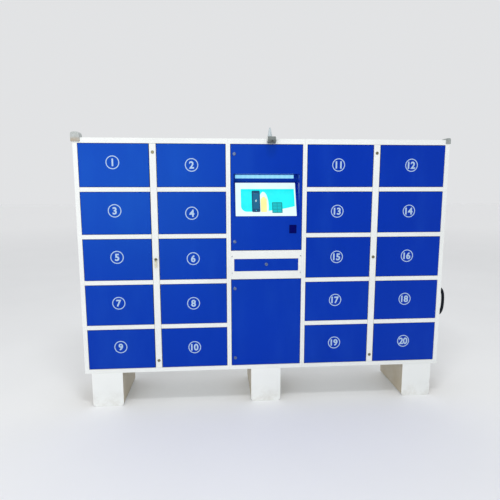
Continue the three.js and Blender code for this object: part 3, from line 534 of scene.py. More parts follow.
def rounded_box(width, height, radius, centre=(0.0, 0.0)):
    points = []
    for corner, (side_x, side_y) in enumerate(((1, 1), (-1, 1), (-1, -1), (1, -1))):
        middle_x = centre[0] + side_x * (width / 2 - radius)
        middle_y = centre[1] + side_y * (height / 2 - radius)
        quarter = arc(corner, corner + 1, CORNER_STEPS)
        points += [(middle_x + radius * x, middle_y + radius * y) for x, y in quarter]
    return points


def cross(reach, half_width):
    """The outline of a cross with four equal arms."""
    arm = [(reach, -half_width), (reach, half_width), (half_width, half_width)]
    points = []
    for cos, sin in circle(1, 4):
        points += [(x * cos - y * sin, x * sin + y * cos) for x, y in arm]
    return points


def mesh_of(data):
    """The mesh of a curve or text, which isn't kept."""
    holder = put_in_scene("holder", data)
    graph = bpy.context.evaluated_depsgraph_get()
    mesh = bpy.data.meshes.new_from_object(holder.evaluated_get(graph))
    bpy.data.objects.remove(holder)
    bpy.data.curves.remove(data)
    return mesh


def sheet_mesh(loops, thickness, edge):
    """A flat body from z = 0 up to thickness; the first loop is its outline and the others are holes."""
    data = bpy.data.curves.new("loops", "CURVE")
    data.dimensions = "2D"
    data.fill_mode = "BOTH"
    data.extrude = thickness / 2 - edge
    data.bevel_depth = edge
    data.bevel_resolution = 2
    data.offset = -edge
    for loop in loops:
        spline = data.splines.new("POLY")
        spline.points.add(len(loop) - 1)
        for point, (x, y) in zip(spline.points, loop):
            point.co = (x, y, thickness / 2, 1)
        spline.use_cyclic_u = True
    return mesh_of(data)


def text_mesh(text, height, bolder, thickness, edge):
    """Figures of the built-in font, centred on the origin, from z = 0 up to thickness."""
    data = bpy.data.curves.new("figures", "FONT")
    data.body = text
    data.offset = bolder
    data.extrude = thickness / 2 - edge
    data.bevel_depth = edge
    data.bevel_resolution = 1
    data.resolution_u = 8
    data.space_character = 0.96
    mesh = mesh_of(data)
    low = Vector([min(vertex.co[axis] for vertex in mesh.vertices) for axis in range(3)])
    high = Vector([max(vertex.co[axis] for vertex in mesh.vertices) for axis in range(3)])
    scale = height / (high.y - low.y)
    middle = (low + high) / 2
    flat = Matrix.Diagonal((scale, scale, 1, 1)) @ Matrix.Translation((-middle.x, -middle.y, -low.z))
    mesh.transform(flat)
    return mesh


class Form:
    """A piece's mesh, put together from closed bodies."""

    def __init__(self):
        self.mesh = bmesh.new()

    def skin(self, rings, place, closed=False):
        """Joins closed rings of points from first to last, then caps both ends or joins them up."""
        levels = [[self.mesh.verts.new(place @ Vector(point)) for point in ring] for ring in rings]
        pairs = list(zip(levels, levels[1:]))
        if closed:
            pairs.append((levels[-1], levels[0]))
        for lower, upper in pairs:
            for index in range(len(lower)):
                after = (index + 1) % len(lower)
                self.mesh.faces.new((lower[index], lower[after], upper[after], upper[index]))
        if not closed:
            self.mesh.faces.new(levels[0][::-1])
            self.mesh.faces.new(levels[-1])

    def lathe(self, profile, place, steps=40, closed=False):
        """Turns a profile of (radius, height) points about the local z axis."""
        rings = [[(x, y, height) for x, y in circle(radius, steps)] for radius, height in profile]
        self.skin(rings, place, closed)

    def slab(self, outline, low, high, edge, place):
        """A flat body between two heights with round edges; outline(inset) gives its points."""
        rings = [(edge * (1 - y), edge * (1 - x)) for x, y in arc(0, 1, ROUND_STEPS)]
        levels = [(inset, low + rise) for inset, rise in rings]
        levels += [(inset, high - rise) for inset, rise in reversed(rings)]
        self.skin([[(x, y, z) for x, y in outline(inset)] for inset, z in levels], place)

    def block(self, size, corner, middle, low, high, edge, place):
        """A slab with a round-cornered box for its outline."""
        width, height = size

        def outline(inset):
            return rounded_box(width - 2 * inset, height - 2 * inset, corner - inset, middle)

        self.slab(outline, low, high, edge, place)

    def tube(self, route, radius, place, sides=24):
        """A round bar of constant radius along a smooth flat route of points."""
        rings = []
        for index, point in enumerate(route):
            before = Vector(route[max(index - 1, 0)])
            after = Vector(route[min(index + 1, len(route) - 1)])
            along = (after - before).normalized()
            across = Vector((0, 0, 1))
            side = along.cross(across)
            rings.append([Vector(point) + radius * (side * x + across * y) for x, y in circle(1, sides)])
        self.skin(rings, place)

    def add(self, mesh, place):
        """Adds a copy of a mesh."""
        known = len(self.mesh.verts)
        self.mesh.from_mesh(mesh)
        self.mesh.verts.ensure_lookup_table()
        bmesh.ops.transform(self.mesh, matrix=place, verts=self.mesh.verts[known:])

    def piece(self, name, slot, body, finish=None, replaces=()):
        """Makes the object, in its slot's finish or its own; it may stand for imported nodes."""
        bmesh.ops.remove_doubles(self.mesh, verts=self.mesh.verts, dist=0.002 * MM)
        bmesh.ops.recalc_face_normals(self.mesh, faces=self.mesh.faces)
        mesh = bpy.data.meshes.new(name)
        self.mesh.to_mesh(mesh)
        self.mesh.free()
        mesh.materials.clear()
        mesh.materials.append(finish or FINISHES[slot])
        for polygon in mesh.polygons:
            polygon.use_smooth = True
        mesh.set_sharp_from_angle(angle=SMOOTH_ANGLE)
        obj = put_in_scene(name, mesh)
        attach(obj, body)
        if replaces:
            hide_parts(*replaces)


def screw_mesh(radius, height):
    """A pan head with a cross recess that goes most of the way down."""
    form = Form()
    foot = [(0.9 * radius, 0), (0.97 * radius, 0.1 * height), (0.9 * radius, 0.2 * height)]
    form.lathe(foot, Matrix.Identity(4))
    head = [circle(radius, 28), cross(0.58 * radius, 0.13 * radius)]
    form.add(sheet_mesh(head, height, 0.3 * height), Matrix.Identity(4))
    mesh = bpy.data.meshes.new("screw")
    form.mesh.to_mesh(mesh)
    form.mesh.free()
    return mesh


def add_screws(name, slot, size, places, finish=None):
    """One fixed piece, with a screw at each place."""
    head = screw_mesh(*size)
    form = Form()
    for place in places:
        form.add(head, place)
    form.piece(name, slot, "kiosk", finish)


# ---------- places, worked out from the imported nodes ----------

joint_at = {joint["child"]: Vector(joint["pos_m"]) for joint in frame["joints"] if "pos_m" in joint}
FRONT = joint_at["drawer_lock"].y       # the doors' front faces


def middle_of(name):
    low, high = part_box(name)
    return (low + high) / 2


# ---------- locker number labels ----------

# Across and up from each door's middle, in millimetres, for each column.
LABEL_OFFSETS = ((-6, 16), (-1, 1), (-12, 6), (-6, 5))
LABEL_SLACK = 3 * MM            # the labels were put on by hand
LABEL_RADIUS = 39.5 * MM        # to the middle of the ring's line
LABEL_LINE = 5.5 * MM
LABEL_THICKNESS = 0.2 * MM
LABEL_EDGE = 0.04 * MM
FIGURE_HEIGHT = 47 * MM
FIGURE_BOLDER = 0.032           # in the font's own units
LOCKERS = 20
LOCKERS_A_SIDE = 10             # in the two columns left or right of the control door


def add_label(number):
    """A ring round the locker's number; odd numbers run down the left column of each pair."""
    door = f"locker_door_{number:02d}"
    middle = middle_of(door)
    column = 2 * ((number - 1) // LOCKERS_A_SIDE) + (number - 1) % 2
    across, up = LABEL_OFFSETS[column]
    hand = random.Random(number)
    x = middle.x + across * MM + hand.uniform(-LABEL_SLACK, LABEL_SLACK)
    z = middle.z + up * MM + hand.uniform(-LABEL_SLACK, LABEL_SLACK)
    place = placed(OUT_OF_FRONT, (x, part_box(door)[0].y, z))
    form = Form()
    inner, outer = LABEL_RADIUS - LABEL_LINE / 2, LABEL_RADIUS + LABEL_LINE / 2
    top, shoulder = LABEL_THICKNESS, LABEL_THICKNESS - LABEL_EDGE
    ring = [
        (inner, 0), (outer, 0), (outer, shoulder),
        (outer - LABEL_EDGE, top), (inner + LABEL_EDGE, top), (inner, shoulder),
    ]
    form.lathe(ring, place, steps=72, closed=True)
    form.add(text_mesh(str(number), FIGURE_HEIGHT, FIGURE_BOLDER, LABEL_THICKNESS, LABEL_EDGE), place)
    form.piece(f"locker_label_{number:02d}", "white_paint", door, LABEL)


# ---------- the lit display ----------

SLOPE = math.radians(22)        # the display leans back from upright by this much
PAGE_MARGIN = 0.5 * MM
LAYER = 0.05 * MM


def display_window():
    """The glass's front: the place of its lower left corner, its width and its height."""
    out = Vector((0, -math.cos(SLOPE), math.sin(SLOPE)))
    up = Vector((0, math.sin(SLOPE), math.cos(SLOPE)))
    points = [vertex.co for vertex in nodes["touch_display"].data.vertices]
    front = max(point.dot(out) for point in points)
    face = [point for point in points if front - point.dot(out) < 0.1 * MM]
    x0, x1 = min(point.x for point in face), max(point.x for point in face)
    z0, z1 = min(point.dot(up) for point in face), max(point.dot(up) for point in face)
    turn = Matrix(((1, 0, 0), (0, up.y, out.y), (0, up.z, out.z)))
    corner = Vector((x0, 0, 0)) + z0 * up + front * out
    return placed(turn, corner), x1 - x0, z1 - z0


PAGE_WHITE = (0.8, 1.0, 1.0)
PHONE_MIDDLE = 0.3375           # the drawing's own places and sizes are shares of the window
BATTERY_MIDDLE = 0.465


class Picture:
    """The lit display's thin layers, drawn in shares of its window."""

    def __init__(self):
        self.place, self.width, self.height = display_window()

    def patch(self, name, loops, colour, layer):
        form = Form()
        form.add(sheet_mesh(loops, LAYER * 0.9, LAYER * 0.1), self.place @ raised(layer * LAYER))
        form.piece(f"display_{name}", "screen_glass", "control_door", lit(f"lit_{name}", colour))

    def box(self, x0, y0, x1, y1, radius):
        """A round-cornered box between two places."""
        centre = ((x0 + x1) / 2 * self.width, (y0 + y1) / 2 * self.height)
        return rounded_box((x1 - x0) * self.width, (y1 - y0) * self.height, radius, centre)

    def background(self):
        margin = 2 * PAGE_MARGIN
        middle = (self.width / 2, self.height / 2)
        page = rounded_box(self.width - margin, self.height - margin, 2 * MM, middle)
        self.patch("page", [page], PAGE_WHITE, 0)
        self.patch("panel", [panel_outline(self.width, self.height)], (0.012, 0.92, 0.95), 1)
        glow = [((0.46 + 0.085 * x) * self.width, max(0.3 + 0.42 * y, 0.11) * self.height)
                for x, y in circle(1, 48)]
        self.patch("glow", [glow], PAGE_WHITE, 1.5)

    def phone(self):
        middle = PHONE_MIDDLE * self.width
        screen = self.box(0.29, 0.22, 0.385, 0.68, 2 * MM)
        button = circle(2.6 * MM, 16, (middle, 0.17 * self.height))
        case = self.box(0.27, 0.12, 0.405, 0.76, 8 * MM)
        self.patch("phone", [case, screen, button], (0.003, 0.07, 0.17), 2)
        self.patch("phone_glass", [screen], (0.005, 0.13, 0.27), 2)
        self.patch("bolt", [bolt_outline(middle, 0.45 * self.height, 20 * MM)], (0.75, 1.0, 0.95), 3)

    def battery(self):
        middle, foot = BATTERY_MIDDLE * self.width, 0.12 * self.height
        outline = battery_outline(middle, foot, 0.1 * self.width, 0.46 * self.height)
        self.patch("battery", [outline], (0.95, 0.9, 0.36), 2)

    def lockers(self):
        frame_loops = [self.box(0.6, 0.09, 0.77, 0.41, 4 * MM)]
        for column in range(2):
            for row in range(3):
                x0, y0 = 0.615 + 0.073 * column, 0.115 + 0.094 * row
                frame_loops.append(self.box(x0, y0, x0 + 0.064, y0 + 0.078, 1.5 * MM))
        self.patch("lockers", frame_loops, (0.0, 0.3, 0.33), 2)
        self.patch("locker_doors", [self.box(0.613, 0.11, 0.757, 0.39, 1 * MM)], (0.0, 0.5, 0.55), 1.5)


def add_picture():
    """A plain picture of charging: a phone and a battery in front of a block of lockers."""
    picture = Picture()
    picture.background()
    picture.phone()
    picture.battery()
    picture.lockers()


def panel_outline(width, height):
    """The coloured panel: its lower edge curves down from the left, then sweeps up to the right."""
    top, shoulder, bottom = 0.81 * height, 0.3 * height, 0.13 * height
    left, right, round_width = 0.09 * width, 0.975 * width, 0.1 * width
    sweep_steps = 16
    points = [(left, top), (left, shoulder)]
    for x, y in arc(0, 1, steps=8):
        points.append((left + round_width * (1 - x), shoulder - (shoulder - bottom) * y))
    for step in range(1, sweep_steps + 1):
        share = step / sweep_steps
        x = left + round_width + (right - left - round_width) * share
        points.append((x, bottom + 0.16 * height * share ** 2.2))
    points.append((right, top))
    return points


def bolt_outline(x, y, size):
    """A lightning flash centred on a place."""
    shape = [(0.1, 1), (-0.55, -0.12), (-0.06, -0.12), (-0.2, -1), (0.55, 0.2), (0.06, 0.2), (0.42, 1)]
    return [(x + size * across / 2, y + size * up / 2) for across, up in shape]


def battery_outline(x, y0, width, height):
    """An upright battery with its cap, standing on the height y0."""
    cap, shoulder = 0.22 * width, 0.9 * height
    half, soft = width / 2, 0.12 * width
    case = [(half - soft, 0), (half, soft), (half, shoulder - soft), (half - soft, shoulder)]
    right_side = [*case, (cap, shoulder), (cap, height)]
    left_side = [(-across, up) for across, up in reversed(right_side)]
    return [(x + across, y0 + up) for across, up in right_side + left_side]


# ---------- keyed locks ----------

BARREL_IN = 3 * MM              # barrel radius inside the head's
HEAD_GAP = 0.3 * MM             # head's back off the door
THREADS = 9
THREAD_DEPTH = 0.45 * MM
PLUG_THICKNESS = 1.2 * MM
PLUG_DROP = 1.35 * MM           # plug's back below the rim's top
KEYWAY = (1.7 * MM, 7.5 * MM, 0.5 * MM)   # width, height and corner radius
NUT_OUT = 3.8 * MM              # nut's corners outside the barrel
NUT_HEIGHT = 3.5 * MM
NUT_GAP = 0.15 * MM
NUT_CHAMFER = (0.6 * MM, 0.4 * MM)        # across and along
SHEET = 1.5 * MM                # the doors' steel
CAM_THICKNESS = 2.5 * MM
CAM_EDGE = 0.4 * MM


def add_lock(name, metal):
    low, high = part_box(name)
    centre = Vector((joint_at[name].x, FRONT, joint_at[name].z))
    place = placed(OUT_OF_FRONT, centre)
    radius = min(high.x - low.x, high.z - low.z) / 2
    top, back = FRONT - low.y, FRONT - high.y
    barrel = radius - BARREL_IN
    form = Form()
    form.lathe(lock_housing(radius, barrel, top, back + CAM_THICKNESS), place)
    plug = sheet_mesh([circle(0.7 * radius, 40), rounded_box(*KEYWAY)], PLUG_THICKNESS, 0.15 * MM)
    form.add(plug, place @ raised(top - PLUG_DROP))
    form.lathe(nut_profile(barrel + NUT_OUT, -SHEET - NUT_GAP), place, steps=6)
    upright = high.z - centre.z > radius
    reach = max(centre.x - low.x, high.z - centre.z)
    cam = placed(Matrix.Rotation(0 if upright else math.pi / 2, 3, "Z"), (0, 0, 0))
    length, middle = reach + radius / 2, (0, (reach - radius / 2) / 2)
    cam_top = back + CAM_THICKNESS
    form.block((radius, length), radius / 2.2, middle, back, cam_top, CAM_EDGE, place @ cam)
    bolt = [(0.2 * radius, back), (0.42 * radius, cam_top), (0.42 * radius, cam_top + CAM_EDGE)]
    form.lathe(bolt, place, steps=6)
    form.piece(name + "_body", "chrome", name, metal, replaces=[name])


def nut_profile(radius, top):
    """A nut with both faces chamfered, from its top face down."""
    across, along = NUT_CHAMFER
    return [
        (radius - across, top), (radius, top - along),
        (radius, top - NUT_HEIGHT + along), (radius - across, top - NUT_HEIGHT),
    ]


def lock_housing(radius, barrel, top, back):
    """Head, collar and threaded barrel, from the barrel's back to the rim round the plug."""
    profile = [(barrel - 0.6 * MM, back)]
    start = back + 0.5 * MM
    pitch = (-SHEET - start) / THREADS
    for thread in range(THREADS):
        profile.append((barrel, start + (thread + 0.25) * pitch))
        profile.append((barrel - THREAD_DEPTH, start + (thread + 0.75) * pitch))
    collar = [(barrel, -SHEET), (barrel, HEAD_GAP), *in_mm([(-0.2, 0), (0, 0.2)], radius, HEAD_GAP)]
    crown = [(radius, top - 1.1 * MM), (0.97 * radius, top - 0.6 * MM), (0.9 * radius, top - 0.15 * MM)]
    rim = [(0.84 * radius, top), (0.79 * radius, top - 0.1 * MM), (0.75 * radius, top - 0.5 * MM)]
    return [*profile, *collar, *crown, *rim, (0.74 * radius, top - 1.3 * MM)]


def add_locks():
    for name in nodes:
        if name.startswith("channel_lock"):
            add_lock(name, BRASS)
        elif name.startswith(("control_lock", "service_lock", "drawer_lock")):
            add_lock(name, NICKEL)


KEY_LOCK = "channel_lock_left_2"
KEY_COVER = "lock_channel_cover_left"
KEY_THICKNESS = 2.2 * MM
KEY_NECK = 7 * MM
KEY_BOW = 11 * MM               # the bow's radius
KEY_HOLE = (3 * MM, 5 * MM)     # radius, and from the bow's middle
KEY_OUT = 7 * MM                # from the lock's face to the bow
BLADE_IN = 4 * MM               # the blade's length in the lock
BLADE_LAP = 6 * MM              # and in the bow
BLADE_SHARE = 0.7               # of the bow's thickness
RING_RADIUS = 5.2 * MM
RING_WIRE = 0.7 * MM
TAG = (14 * MM, 52 * MM, 1.6 * MM)
TAG_CORNER = 4 * MM
TAG_HOLE = (1.8 * MM, 3.2 * MM)           # radius, and from the tag's top


def add_key(face):
    """A key that stands out of the lock's face, edge on."""
    edge_on = Matrix(((0, 0, 1), (-1, 0, 0), (0, 1, 0)))
    place = placed(edge_on, face) @ raised(-KEY_THICKNESS / 2)
    blade_length, blade_middle = BLADE_IN + KEY_OUT + BLADE_LAP, (KEY_OUT + BLADE_LAP - BLADE_IN) / 2
    blade = rounded_box(blade_length, KEY_NECK, 0.8 * MM, (blade_middle, 0))
    blade_up = (1 - BLADE_SHARE) / 2 * KEY_THICKNESS
    key = Form()
    key.add(sheet_mesh([blade], KEY_THICKNESS * BLADE_SHARE, 0.2 * MM), place @ raised(blade_up))
    hole_radius, hole_out = KEY_HOLE
    bow_middle = KEY_OUT + KEY_BOW
    bow = [circle(KEY_BOW, 40, (bow_middle, 0)), circle(hole_radius, 20, (bow_middle + hole_out, 0))]
    key.add(sheet_mesh(bow, KEY_THICKNESS, 0.5 * MM), place)
    key.piece("key", "chrome", KEY_LOCK, BRASS)


def add_key_ring(middle):
    ring = Form()
    section = [(RING_RADIUS + RING_WIRE * x, RING_WIRE * y) for x, y in circle(1, 10)]
    ring.lathe(section, placed(OUT_OF_FRONT, middle), steps=32, closed=True)
    ring.piece("key_ring", "chrome", KEY_COVER, NICKEL)


def add_key_tag(ring_middle):
    """A plain tag that hangs straight down from the ring."""
    width, height, thickness = TAG
    hole_radius, hole_in = TAG_HOLE
    top = ring_middle.z - RING_RADIUS + hole_in
    loops = [rounded_box(width, height, TAG_CORNER, (0, -height / 2)), circle(hole_radius, 16, (0, -hole_in))]
    place = placed(OUT_OF_FRONT, (ring_middle.x, ring_middle.y + thickness / 2, top))
    tag = Form()
    tag.add(sheet_mesh(loops, thickness, 0.3 * MM), place)
    tag.piece("key_tag", "guard_plastic", KEY_COVER, TAG_PLASTIC)


def add_key_and_tag():
    """A key left in one lock, with a ring and a tag on its neck."""
    low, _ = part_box(KEY_LOCK)
    face = Vector((joint_at[KEY_LOCK].x, low.y, joint_at[KEY_LOCK].z))
    ring_middle = face + Vector((0, -KEY_OUT / 2, KEY_NECK / 2 - RING_RADIUS + RING_WIRE))
    add_key(face)
    add_key_ring(ring_middle)
    add_key_tag(ring_middle)


# ---------- screws, louvres and roof plugs ----------

PLATE_SCREW = (4.2 * MM, 1.8 * MM)
PLATE_SCREW_IN = 7 * MM
PLATE_SCREW_DROPS = (38 * MM, 150 * MM)
RIM_SCREW = (3.6 * MM, 1.6 * MM)
BACK_INSET = 4 * MM             # the back panels lie this far inside the cabinets' back rims
RIM_SCREW_IN = 24 * MM          # from the cabinet's edge
RIM_SCREW_PITCH = 0.29
LOUVRE_ROWS = 8
LOUVRE_PITCH = 22 * MM
LOUVRE_BANK_IN = 0.16           # from the cabinet's top and bottom
LOUVRE = (110 * MM, 11 * MM, 3.4 * MM)    # length, height and depth of a pressed hood
LOUVRE_SHEET = 0.8 * MM
LOUVRE_END = 9 * MM
PLUG_IN = 60 * MM               # lifting plugs, from the roof's sides and back
PLUG_IN_FRONT = 90 * MM


def add_plate_screws():
    low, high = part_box("slot_plate")
    sides = (low.x + PLATE_SCREW_IN, high.x - PLATE_SCREW_IN)
    places = [(x, low.y, high.z - drop) for x in sides for drop in PLATE_SCREW_DROPS]
    add_screws("slot_plate_screws", "zinc", PLATE_SCREW, [placed(OUT_OF_FRONT, at) for at in places])


def evenly(start, end, pitch):
    """Places from start to end, about pitch apart."""
    count = max(1, round((end - start) / pitch))
    return [start + (end - start) * step / count for step in range(count + 1)]


def add_back_details(cabinet):
    """Screws round the edge of a back panel, and two banks of louvres."""
    low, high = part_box(cabinet)
    face = high.y - BACK_INSET
    x0, x1 = low.x + RIM_SCREW_IN, high.x - RIM_SCREW_IN
    z0, z1 = low.z + RIM_SCREW_IN, high.z - RIM_SCREW_IN
    places = [(x, face, z) for x in evenly(x0, x1, RIM_SCREW_PITCH) for z in (z0, z1)]
    places += [(x, face, z) for z in evenly(z0, z1, RIM_SCREW_PITCH)[1:-1] for x in (x0, x1)]
    screws_at = [placed(OUT_OF_BACK, at) for at in places]
    add_screws(f"{cabinet}_back_screws", "zinc", RIM_SCREW, screws_at)

    louvres = Form()
    x = middle_of(cabinet).x
    for base in (low.z + LOUVRE_BANK_IN, high.z - LOUVRE_BANK_IN - LOUVRE_ROWS * LOUVRE_PITCH):
        for row in range(LOUVRE_ROWS):
            louvres.skin(louvre_rings(), placed(OUT_OF_BACK, (x, face, base + row * LOUVRE_PITCH)))
    louvres.piece(f"{cabinet}_louvres", "white_paint", "kiosk")


def louvre_rings():
    """A hood that is open below: a thin arched section, which closes down to the panel at both ends."""
    length, height, depth = LOUVRE
    rings = []
    for x, scale in louvre_stations(length):
        outer, inner = [], []
        for rise, out in arc(0, 1, steps=6):
            outer.append((x, height * rise, depth * out * scale + 0.02 * MM))
            inner.append((x, (height - LOUVRE_SHEET) * rise, (depth - LOUVRE_SHEET) * out * scale))
        rings.append(outer + inner[::-1])
    return rings


def louvre_stations(length):
    """Places along a hood, with how far it stands out at each as a share of its depth."""
    least = 0.03
    right = [(length / 2 - LOUVRE_END * (1 - x), max(y, least)) for x, y in arc(0, 1, steps=4)]
    left = [(-x, scale) for x, scale in right]
    return left + right[::-1]


def add_roof_plugs(cabinet):
    """Plastic plugs in the four lifting holes of a roof."""
    low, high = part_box(cabinet)
    form = Form()
    profile = in_mm([(10.5, 0.02), (11, 0.4), (10.6, 1.1), (8.5, 1.8), (4, 2.1)])
    for x in (low.x + PLUG_IN, high.x - PLUG_IN):
        for y in (low.y + PLUG_IN_FRONT, high.y - PLUG_IN):
            form.lathe(profile, placed(OUT_OF_TOP, (x, y, high.z)), steps=32)
    form.piece(f"{cabinet}_roof_plugs", "guard_plastic", "kiosk")


# ---------- side handle ----------

HANDLE_RADIUS = 10 * MM
HANDLE_FLANGE = 15 * MM
HANDLE_POWERS = (0.55, 0.82)    # below 1, these square off the bow's half ellipse: out, and along


def add_handle():
    """A smooth bowed bar that swells into a round flange at each end."""
    low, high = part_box("side_handle")
    reach = high.x - low.x - HANDLE_RADIUS
    half = (high.z - low.z) / 2 - HANDLE_FLANGE
    middle = middle_of("side_handle")
    middle.x = low.x
    power_out, power_along = HANDLE_POWERS
    route = []
    for x, y in arc(-1, 1, steps=48):
        route.append((reach * x ** power_out, half * math.copysign(abs(y) ** power_along, y), 0))
    form = Form()
    form.tube(route, HANDLE_RADIUS, placed(OUT_OF_FRONT, middle), sides=28)
    flange = in_mm([(-0.6, 0.3), (0, 1), (0, 3.2), (-1.2, 4.6), (-3.5, 5.4), (-6, 7.5)], x=HANDLE_FLANGE)
    for side in (-1, 1):
        form.lathe(flange, placed(OUT_OF_RIGHT, middle + Vector((0, 0, side * half))), steps=36)
    form.piece("side_handle_grip", "black_plastic", "kiosk", replaces=["side_handle"])


# ---------- camera, its bracket and the aerial ----------

BARREL_TILT = math.radians(20)
BARREL_REACH = 30 * MM
BARREL_RADIUS = 11 * MM
DRUM_WIDTH = 52 * MM
LENS_SEAT = BARREL_REACH - 4.05 * MM
LED_CIRCLE = 7 * MM
LED_COUNT = 8


def drum_profile(radius):
    """The drum's skin from its left end to its right end, with a groove near each."""
    half = DRUM_WIDTH / 2
    step = half - 0.5 * MM
    end_face = [(5 * MM, half), (0.8 * radius, half), (0.82 * radius, step), (0.93 * radius, step)]
    right_end = end_face + in_mm([(0, -2), (0, -11), (-0.8, -11.5), (-0.8, -12.3), (0, -12.8)], radius, half)
    return [(out, -across) for out, across in right_end] + right_end[::-1]


def hood_profile():
    """The lens hood, from inside the drum to its front rim and back in to the lens."""
    collar = [(2, -20), (1.8, -7.2), (0.4, -6), (0, -5.1)]
    rim = [(0, -1), (-0.7, -0.2), (-1.5, -0.2), (-2, -1), (-2.2, -4)]
    return in_mm(collar + rim, BARREL_RADIUS, BARREL_REACH)


def add_camera_head():
    """A grooved drum on the tilt axis, with a hooded lens that looks forward and down."""
    centre = joint_at["camera_head"]
    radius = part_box("camera_head")[1].z - centre.z
    aim = placed(Matrix.Rotation(BARREL_TILT, 3, "X") @ OUT_OF_FRONT, centre)
    drum = Form()
    drum.lathe(drum_profile(radius), placed(OUT_OF_RIGHT, centre), steps=56)
    drum.lathe(hood_profile(), aim)
    drum.piece("camera_housing", "dark_plastic", "camera_head", replaces=["camera_head"])

    seat = aim @ raised(LENS_SEAT)
    dome = in_mm([(5.2, 0), (5.2, 0.85), (4.3, 1.65), (2.6, 2.25), (1, 2.45)])
    led = in_mm([(1, 0), (1, 0.65), (0.5, 1.05)])
    lens = Form()
    lens.lathe(dome, seat, steps=36)
    for x, y in circle(LED_CIRCLE, LED_COUNT):
        lens.lathe(led, seat @ Matrix.Translation((x, y, 0)), steps=14)
    lens.piece("camera_lens", "scanner_glass", "camera_head", LENS)


LUG_GAP = 0.6 * MM
LUG_SHEET = 4 * MM
LUG_RADIUS = 12 * MM
PLATE_THICKNESS = 3 * MM
PLATE_CORNER = 4 * MM
ARM_HEIGHT = 9 * MM
ROOF_GAP = 0.3 * MM
PLATE_AHEAD = 23 * MM           # the plate's front edge, ahead of the aerial
SHEET_EDGE = 0.5 * MM
PIVOT_SCREW = (5 * MM, 2 * MM)
ROOF_SCREW = (3.2 * MM, 1.8 * MM)
ROOF_SCREW_OUT = 22 * MM
AERIAL_FOOT = 18 * MM           # radius at the roof
AERIAL_TIP = 5 * MM
AERIAL_RINGS = 3


def lug_outline(inset, centre, back, low, high):
    """A lug from the side, as (y, z): a round end in front of the roof, and an arm that goes back over it."""
    radius = LUG_RADIUS - inset
    points = [(centre.y + radius * x, centre.z + radius * y) for x, y in arc(2, 4, steps=16)]
    front, back, top = centre.y - radius, back - inset, high - inset
    points += [(centre.y + radius, low + inset), (back, low + inset)]
    return points + in_mm([(0, -2), (-2, 0)], back, top) + in_mm([(6, 0), (1.5, -2), (0, -6)], front, top)


def aerial_foot():
    """Where the aerial's axis meets the roof, under the middle of its tip."""
    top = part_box("camera_bracket")[1].z
    tip = [vertex.co for vertex in nodes["camera_bracket"].data.vertices if top - vertex.co.z < 0.1 * MM]
    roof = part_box("centre_cabinet")[1].z + ROOF_GAP
    return Vector((sum(co.x for co in tip) / len(tip), sum(co.y for co in tip) / len(tip), roof))


def add_bracket():
    """A plate screwed to the roof, with two lugs that hold the camera."""
    centre = joint_at["camera_head"]
    low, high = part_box("camera_bracket")
    foot = aerial_foot()
    base, plate_front = foot.z, foot.y - PLATE_AHEAD
    plate_top = base + PLATE_THICKNESS
    size, middle = (high.x - low.x, high.y - plate_front), ((low.x + high.x) / 2, (plate_front + high.y) / 2)
    form = Form()
    form.block(size, PLATE_CORNER, middle, base, plate_top, SHEET_EDGE, Matrix.Identity(4))

    def lug(inset):
        return lug_outline(inset, centre, high.y, base, base + ARM_HEIGHT)

    for side, turn in ((-1, OUT_OF_LEFT), (1, OUT_OF_RIGHT)):
        inner = centre.x + side * (DRUM_WIDTH / 2 + LUG_GAP)
        outer = inner + side * LUG_SHEET
        form.slab(lug, min(inner, outer), max(inner, outer), SHEET_EDGE, OUT_OF_RIGHT.to_4x4())
        form.add(screw_mesh(*PIVOT_SCREW), placed(turn, (outer, centre.y, centre.z)))
        roof_screw = (centre.x + side * ROOF_SCREW_OUT, high.y - 6 * MM, plate_top)
        form.add(screw_mesh(*ROOF_SCREW), placed(OUT_OF_TOP, roof_screw))
    form.piece("camera_bracket_plate", "white_paint", "kiosk", replaces=["camera_bracket"])


def add_aerial():
    """A tapered aerial that stands just clear of the bracket's plate, with rings near its foot."""
    at = aerial_foot()
    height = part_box("camera_bracket")[1].z - at.z
    taper = (AERIAL_FOOT - AERIAL_TIP) / height
    profile = in_mm([(-0.2, 3.05), (-0.2, 4.5), (-1.6, 5.5)], x=AERIAL_FOOT)
    for ring in range(AERIAL_RINGS):
        z = (9 + 4.5 * ring) * MM
        profile += in_mm([(0, 0), (-0.8, 0.6), (-0.9, 1.6), (-0.3, 2.2)], AERIAL_FOOT - taper * z, z)
    neck = height - 3 * MM
    profile.append((AERIAL_FOOT - taper * neck, neck))
    profile += in_mm([(-0.8, -0.8), (-2.4, -0.1)], AERIAL_TIP, height)
    aerial = Form()
    aerial.lathe(profile, placed(OUT_OF_TOP, at), steps=36)
    aerial.piece("aerial", "guard_plastic", "kiosk", AERIAL_PLASTIC)


# ---------- fittings inside the lockers ----------

BESIDE = 0.5                    # a rail serves the doors whose middles are nearer than this
CASE_MIDDLE = 38 * MM           # lock cases, from the middle of the channel
CASE_SCREW = (3.4 * MM, 1.6 * MM)
CASE_SCREW_UP = 23 * MM
LATCH = (12 * MM, 15 * MM)      # depth and height
LATCH_CORNER = 3 * MM
LATCH_BACK = 13 * MM            # its middle, behind the rail's front
LATCH_SPAN = (38 * MM, 43 * MM)           # its two sides, from the middle of the channel
OUTLET_FACE = 29 * MM
OUTLET_SCREW = (2.6 * MM, 1.3 * MM)
OUTLET_SCREW_UP = 30 * MM
SOCKET_UP = 11 * MM
SOCKET = (9 * MM, 1.7 * MM)     # a contact's width and thickness
SOCKET_CORNER = 0.6 * MM
SOCKET_SPAN = (-3.1 * MM, -0.7 * MM)      # from the outlet's face, out


def doors_beside(rail):
    """For each door that a rail serves: the side of the channel it is on, and its height."""
    for number in range(1, LOCKERS + 1):
        door = f"locker_door_{number:02d}"
        offset = middle_of(door).x - middle_of(rail).x
        if abs(offset) < BESIDE:
            yield (1 if offset > 0 else -1), joint_at[door].z


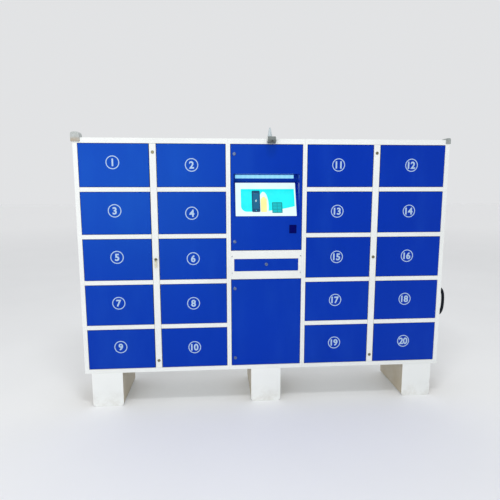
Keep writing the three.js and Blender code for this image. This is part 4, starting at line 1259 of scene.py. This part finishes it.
def add_lock_fittings(side):
    """Two screws and a latch tongue for each lock case on a rail."""
    rail = f"lock_rail_{side}"
    front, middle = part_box(rail)[0].y, middle_of(rail).x
    tongues = Form()
    screws_at = []
    for out, up in doors_beside(rail):
        for step in (-1, 1):
            at = (middle + out * CASE_MIDDLE, front, up + step * CASE_SCREW_UP)
            screws_at.append(placed(OUT_OF_FRONT, at))
        x0, x1 = sorted(middle + out * edge for edge in LATCH_SPAN)
        latch_at = (front + LATCH_BACK, up)
        tongues.block(LATCH, LATCH_CORNER, latch_at, x0, x1, 0.8 * MM, OUT_OF_RIGHT.to_4x4())
    add_screws(f"lock_case_screws_{side}", "chrome", CASE_SCREW, screws_at, NICKEL)
    tongues.piece(f"lock_tongues_{side}", "chrome", "kiosk")


def add_socket_tongues(side):
    """The contact tongue in each charging socket, and a screw above and below each pair."""
    rail = f"charging_rail_{side}"
    middle = middle_of(rail)
    tongues = Form()
    screws_at = []
    for out, up in doors_beside(rail):
        face = Vector((middle.x + out * OUTLET_FACE, middle.y, up))
        turn = OUT_OF_RIGHT if out > 0 else OUT_OF_LEFT
        for step in (-1, 1):
            socket_at = placed(turn, face + Vector((0, 0, step * SOCKET_UP)))
            tongues.block(SOCKET, SOCKET_CORNER, (0, 0), *SOCKET_SPAN, 0.3 * MM, socket_at)
            screws_at.append(placed(turn, face + Vector((0, 0, step * OUTLET_SCREW_UP))))
    tongues.piece(f"socket_tongues_{side}", "guard_plastic", "kiosk")
    add_screws(f"outlet_screws_{side}", "chrome", OUTLET_SCREW, screws_at, NICKEL)


# ---------- making it all ----------

def add_floor():
    """One large plain square, at the height of the feet's soles."""
    corners = [(x * FLOOR_HALF, y * FLOOR_HALF, 0) for x, y in ((-1, -1), (1, -1), (1, 1), (-1, 1))]
    mesh = bpy.data.meshes.new("floor")
    mesh.from_pydata(corners, [], [(0, 1, 2, 3)])
    mesh.materials.append(floor_finish())
    put_in_scene("floor", mesh)


add_camera()
add_studio()
add_floor()
finish_nodes()
for number in range(1, LOCKERS + 1):
    add_label(number)
add_picture()
add_locks()
add_key_and_tag()
add_plate_screws()
for cabinet in ("left_cabinet", "centre_cabinet", "right_cabinet"):
    add_back_details(cabinet)
    add_roof_plugs(cabinet)
add_handle()
add_camera_head()
add_bracket()
add_aerial()
for side in ("left", "right"):
    add_lock_fittings(side)
    add_socket_tongues(side)
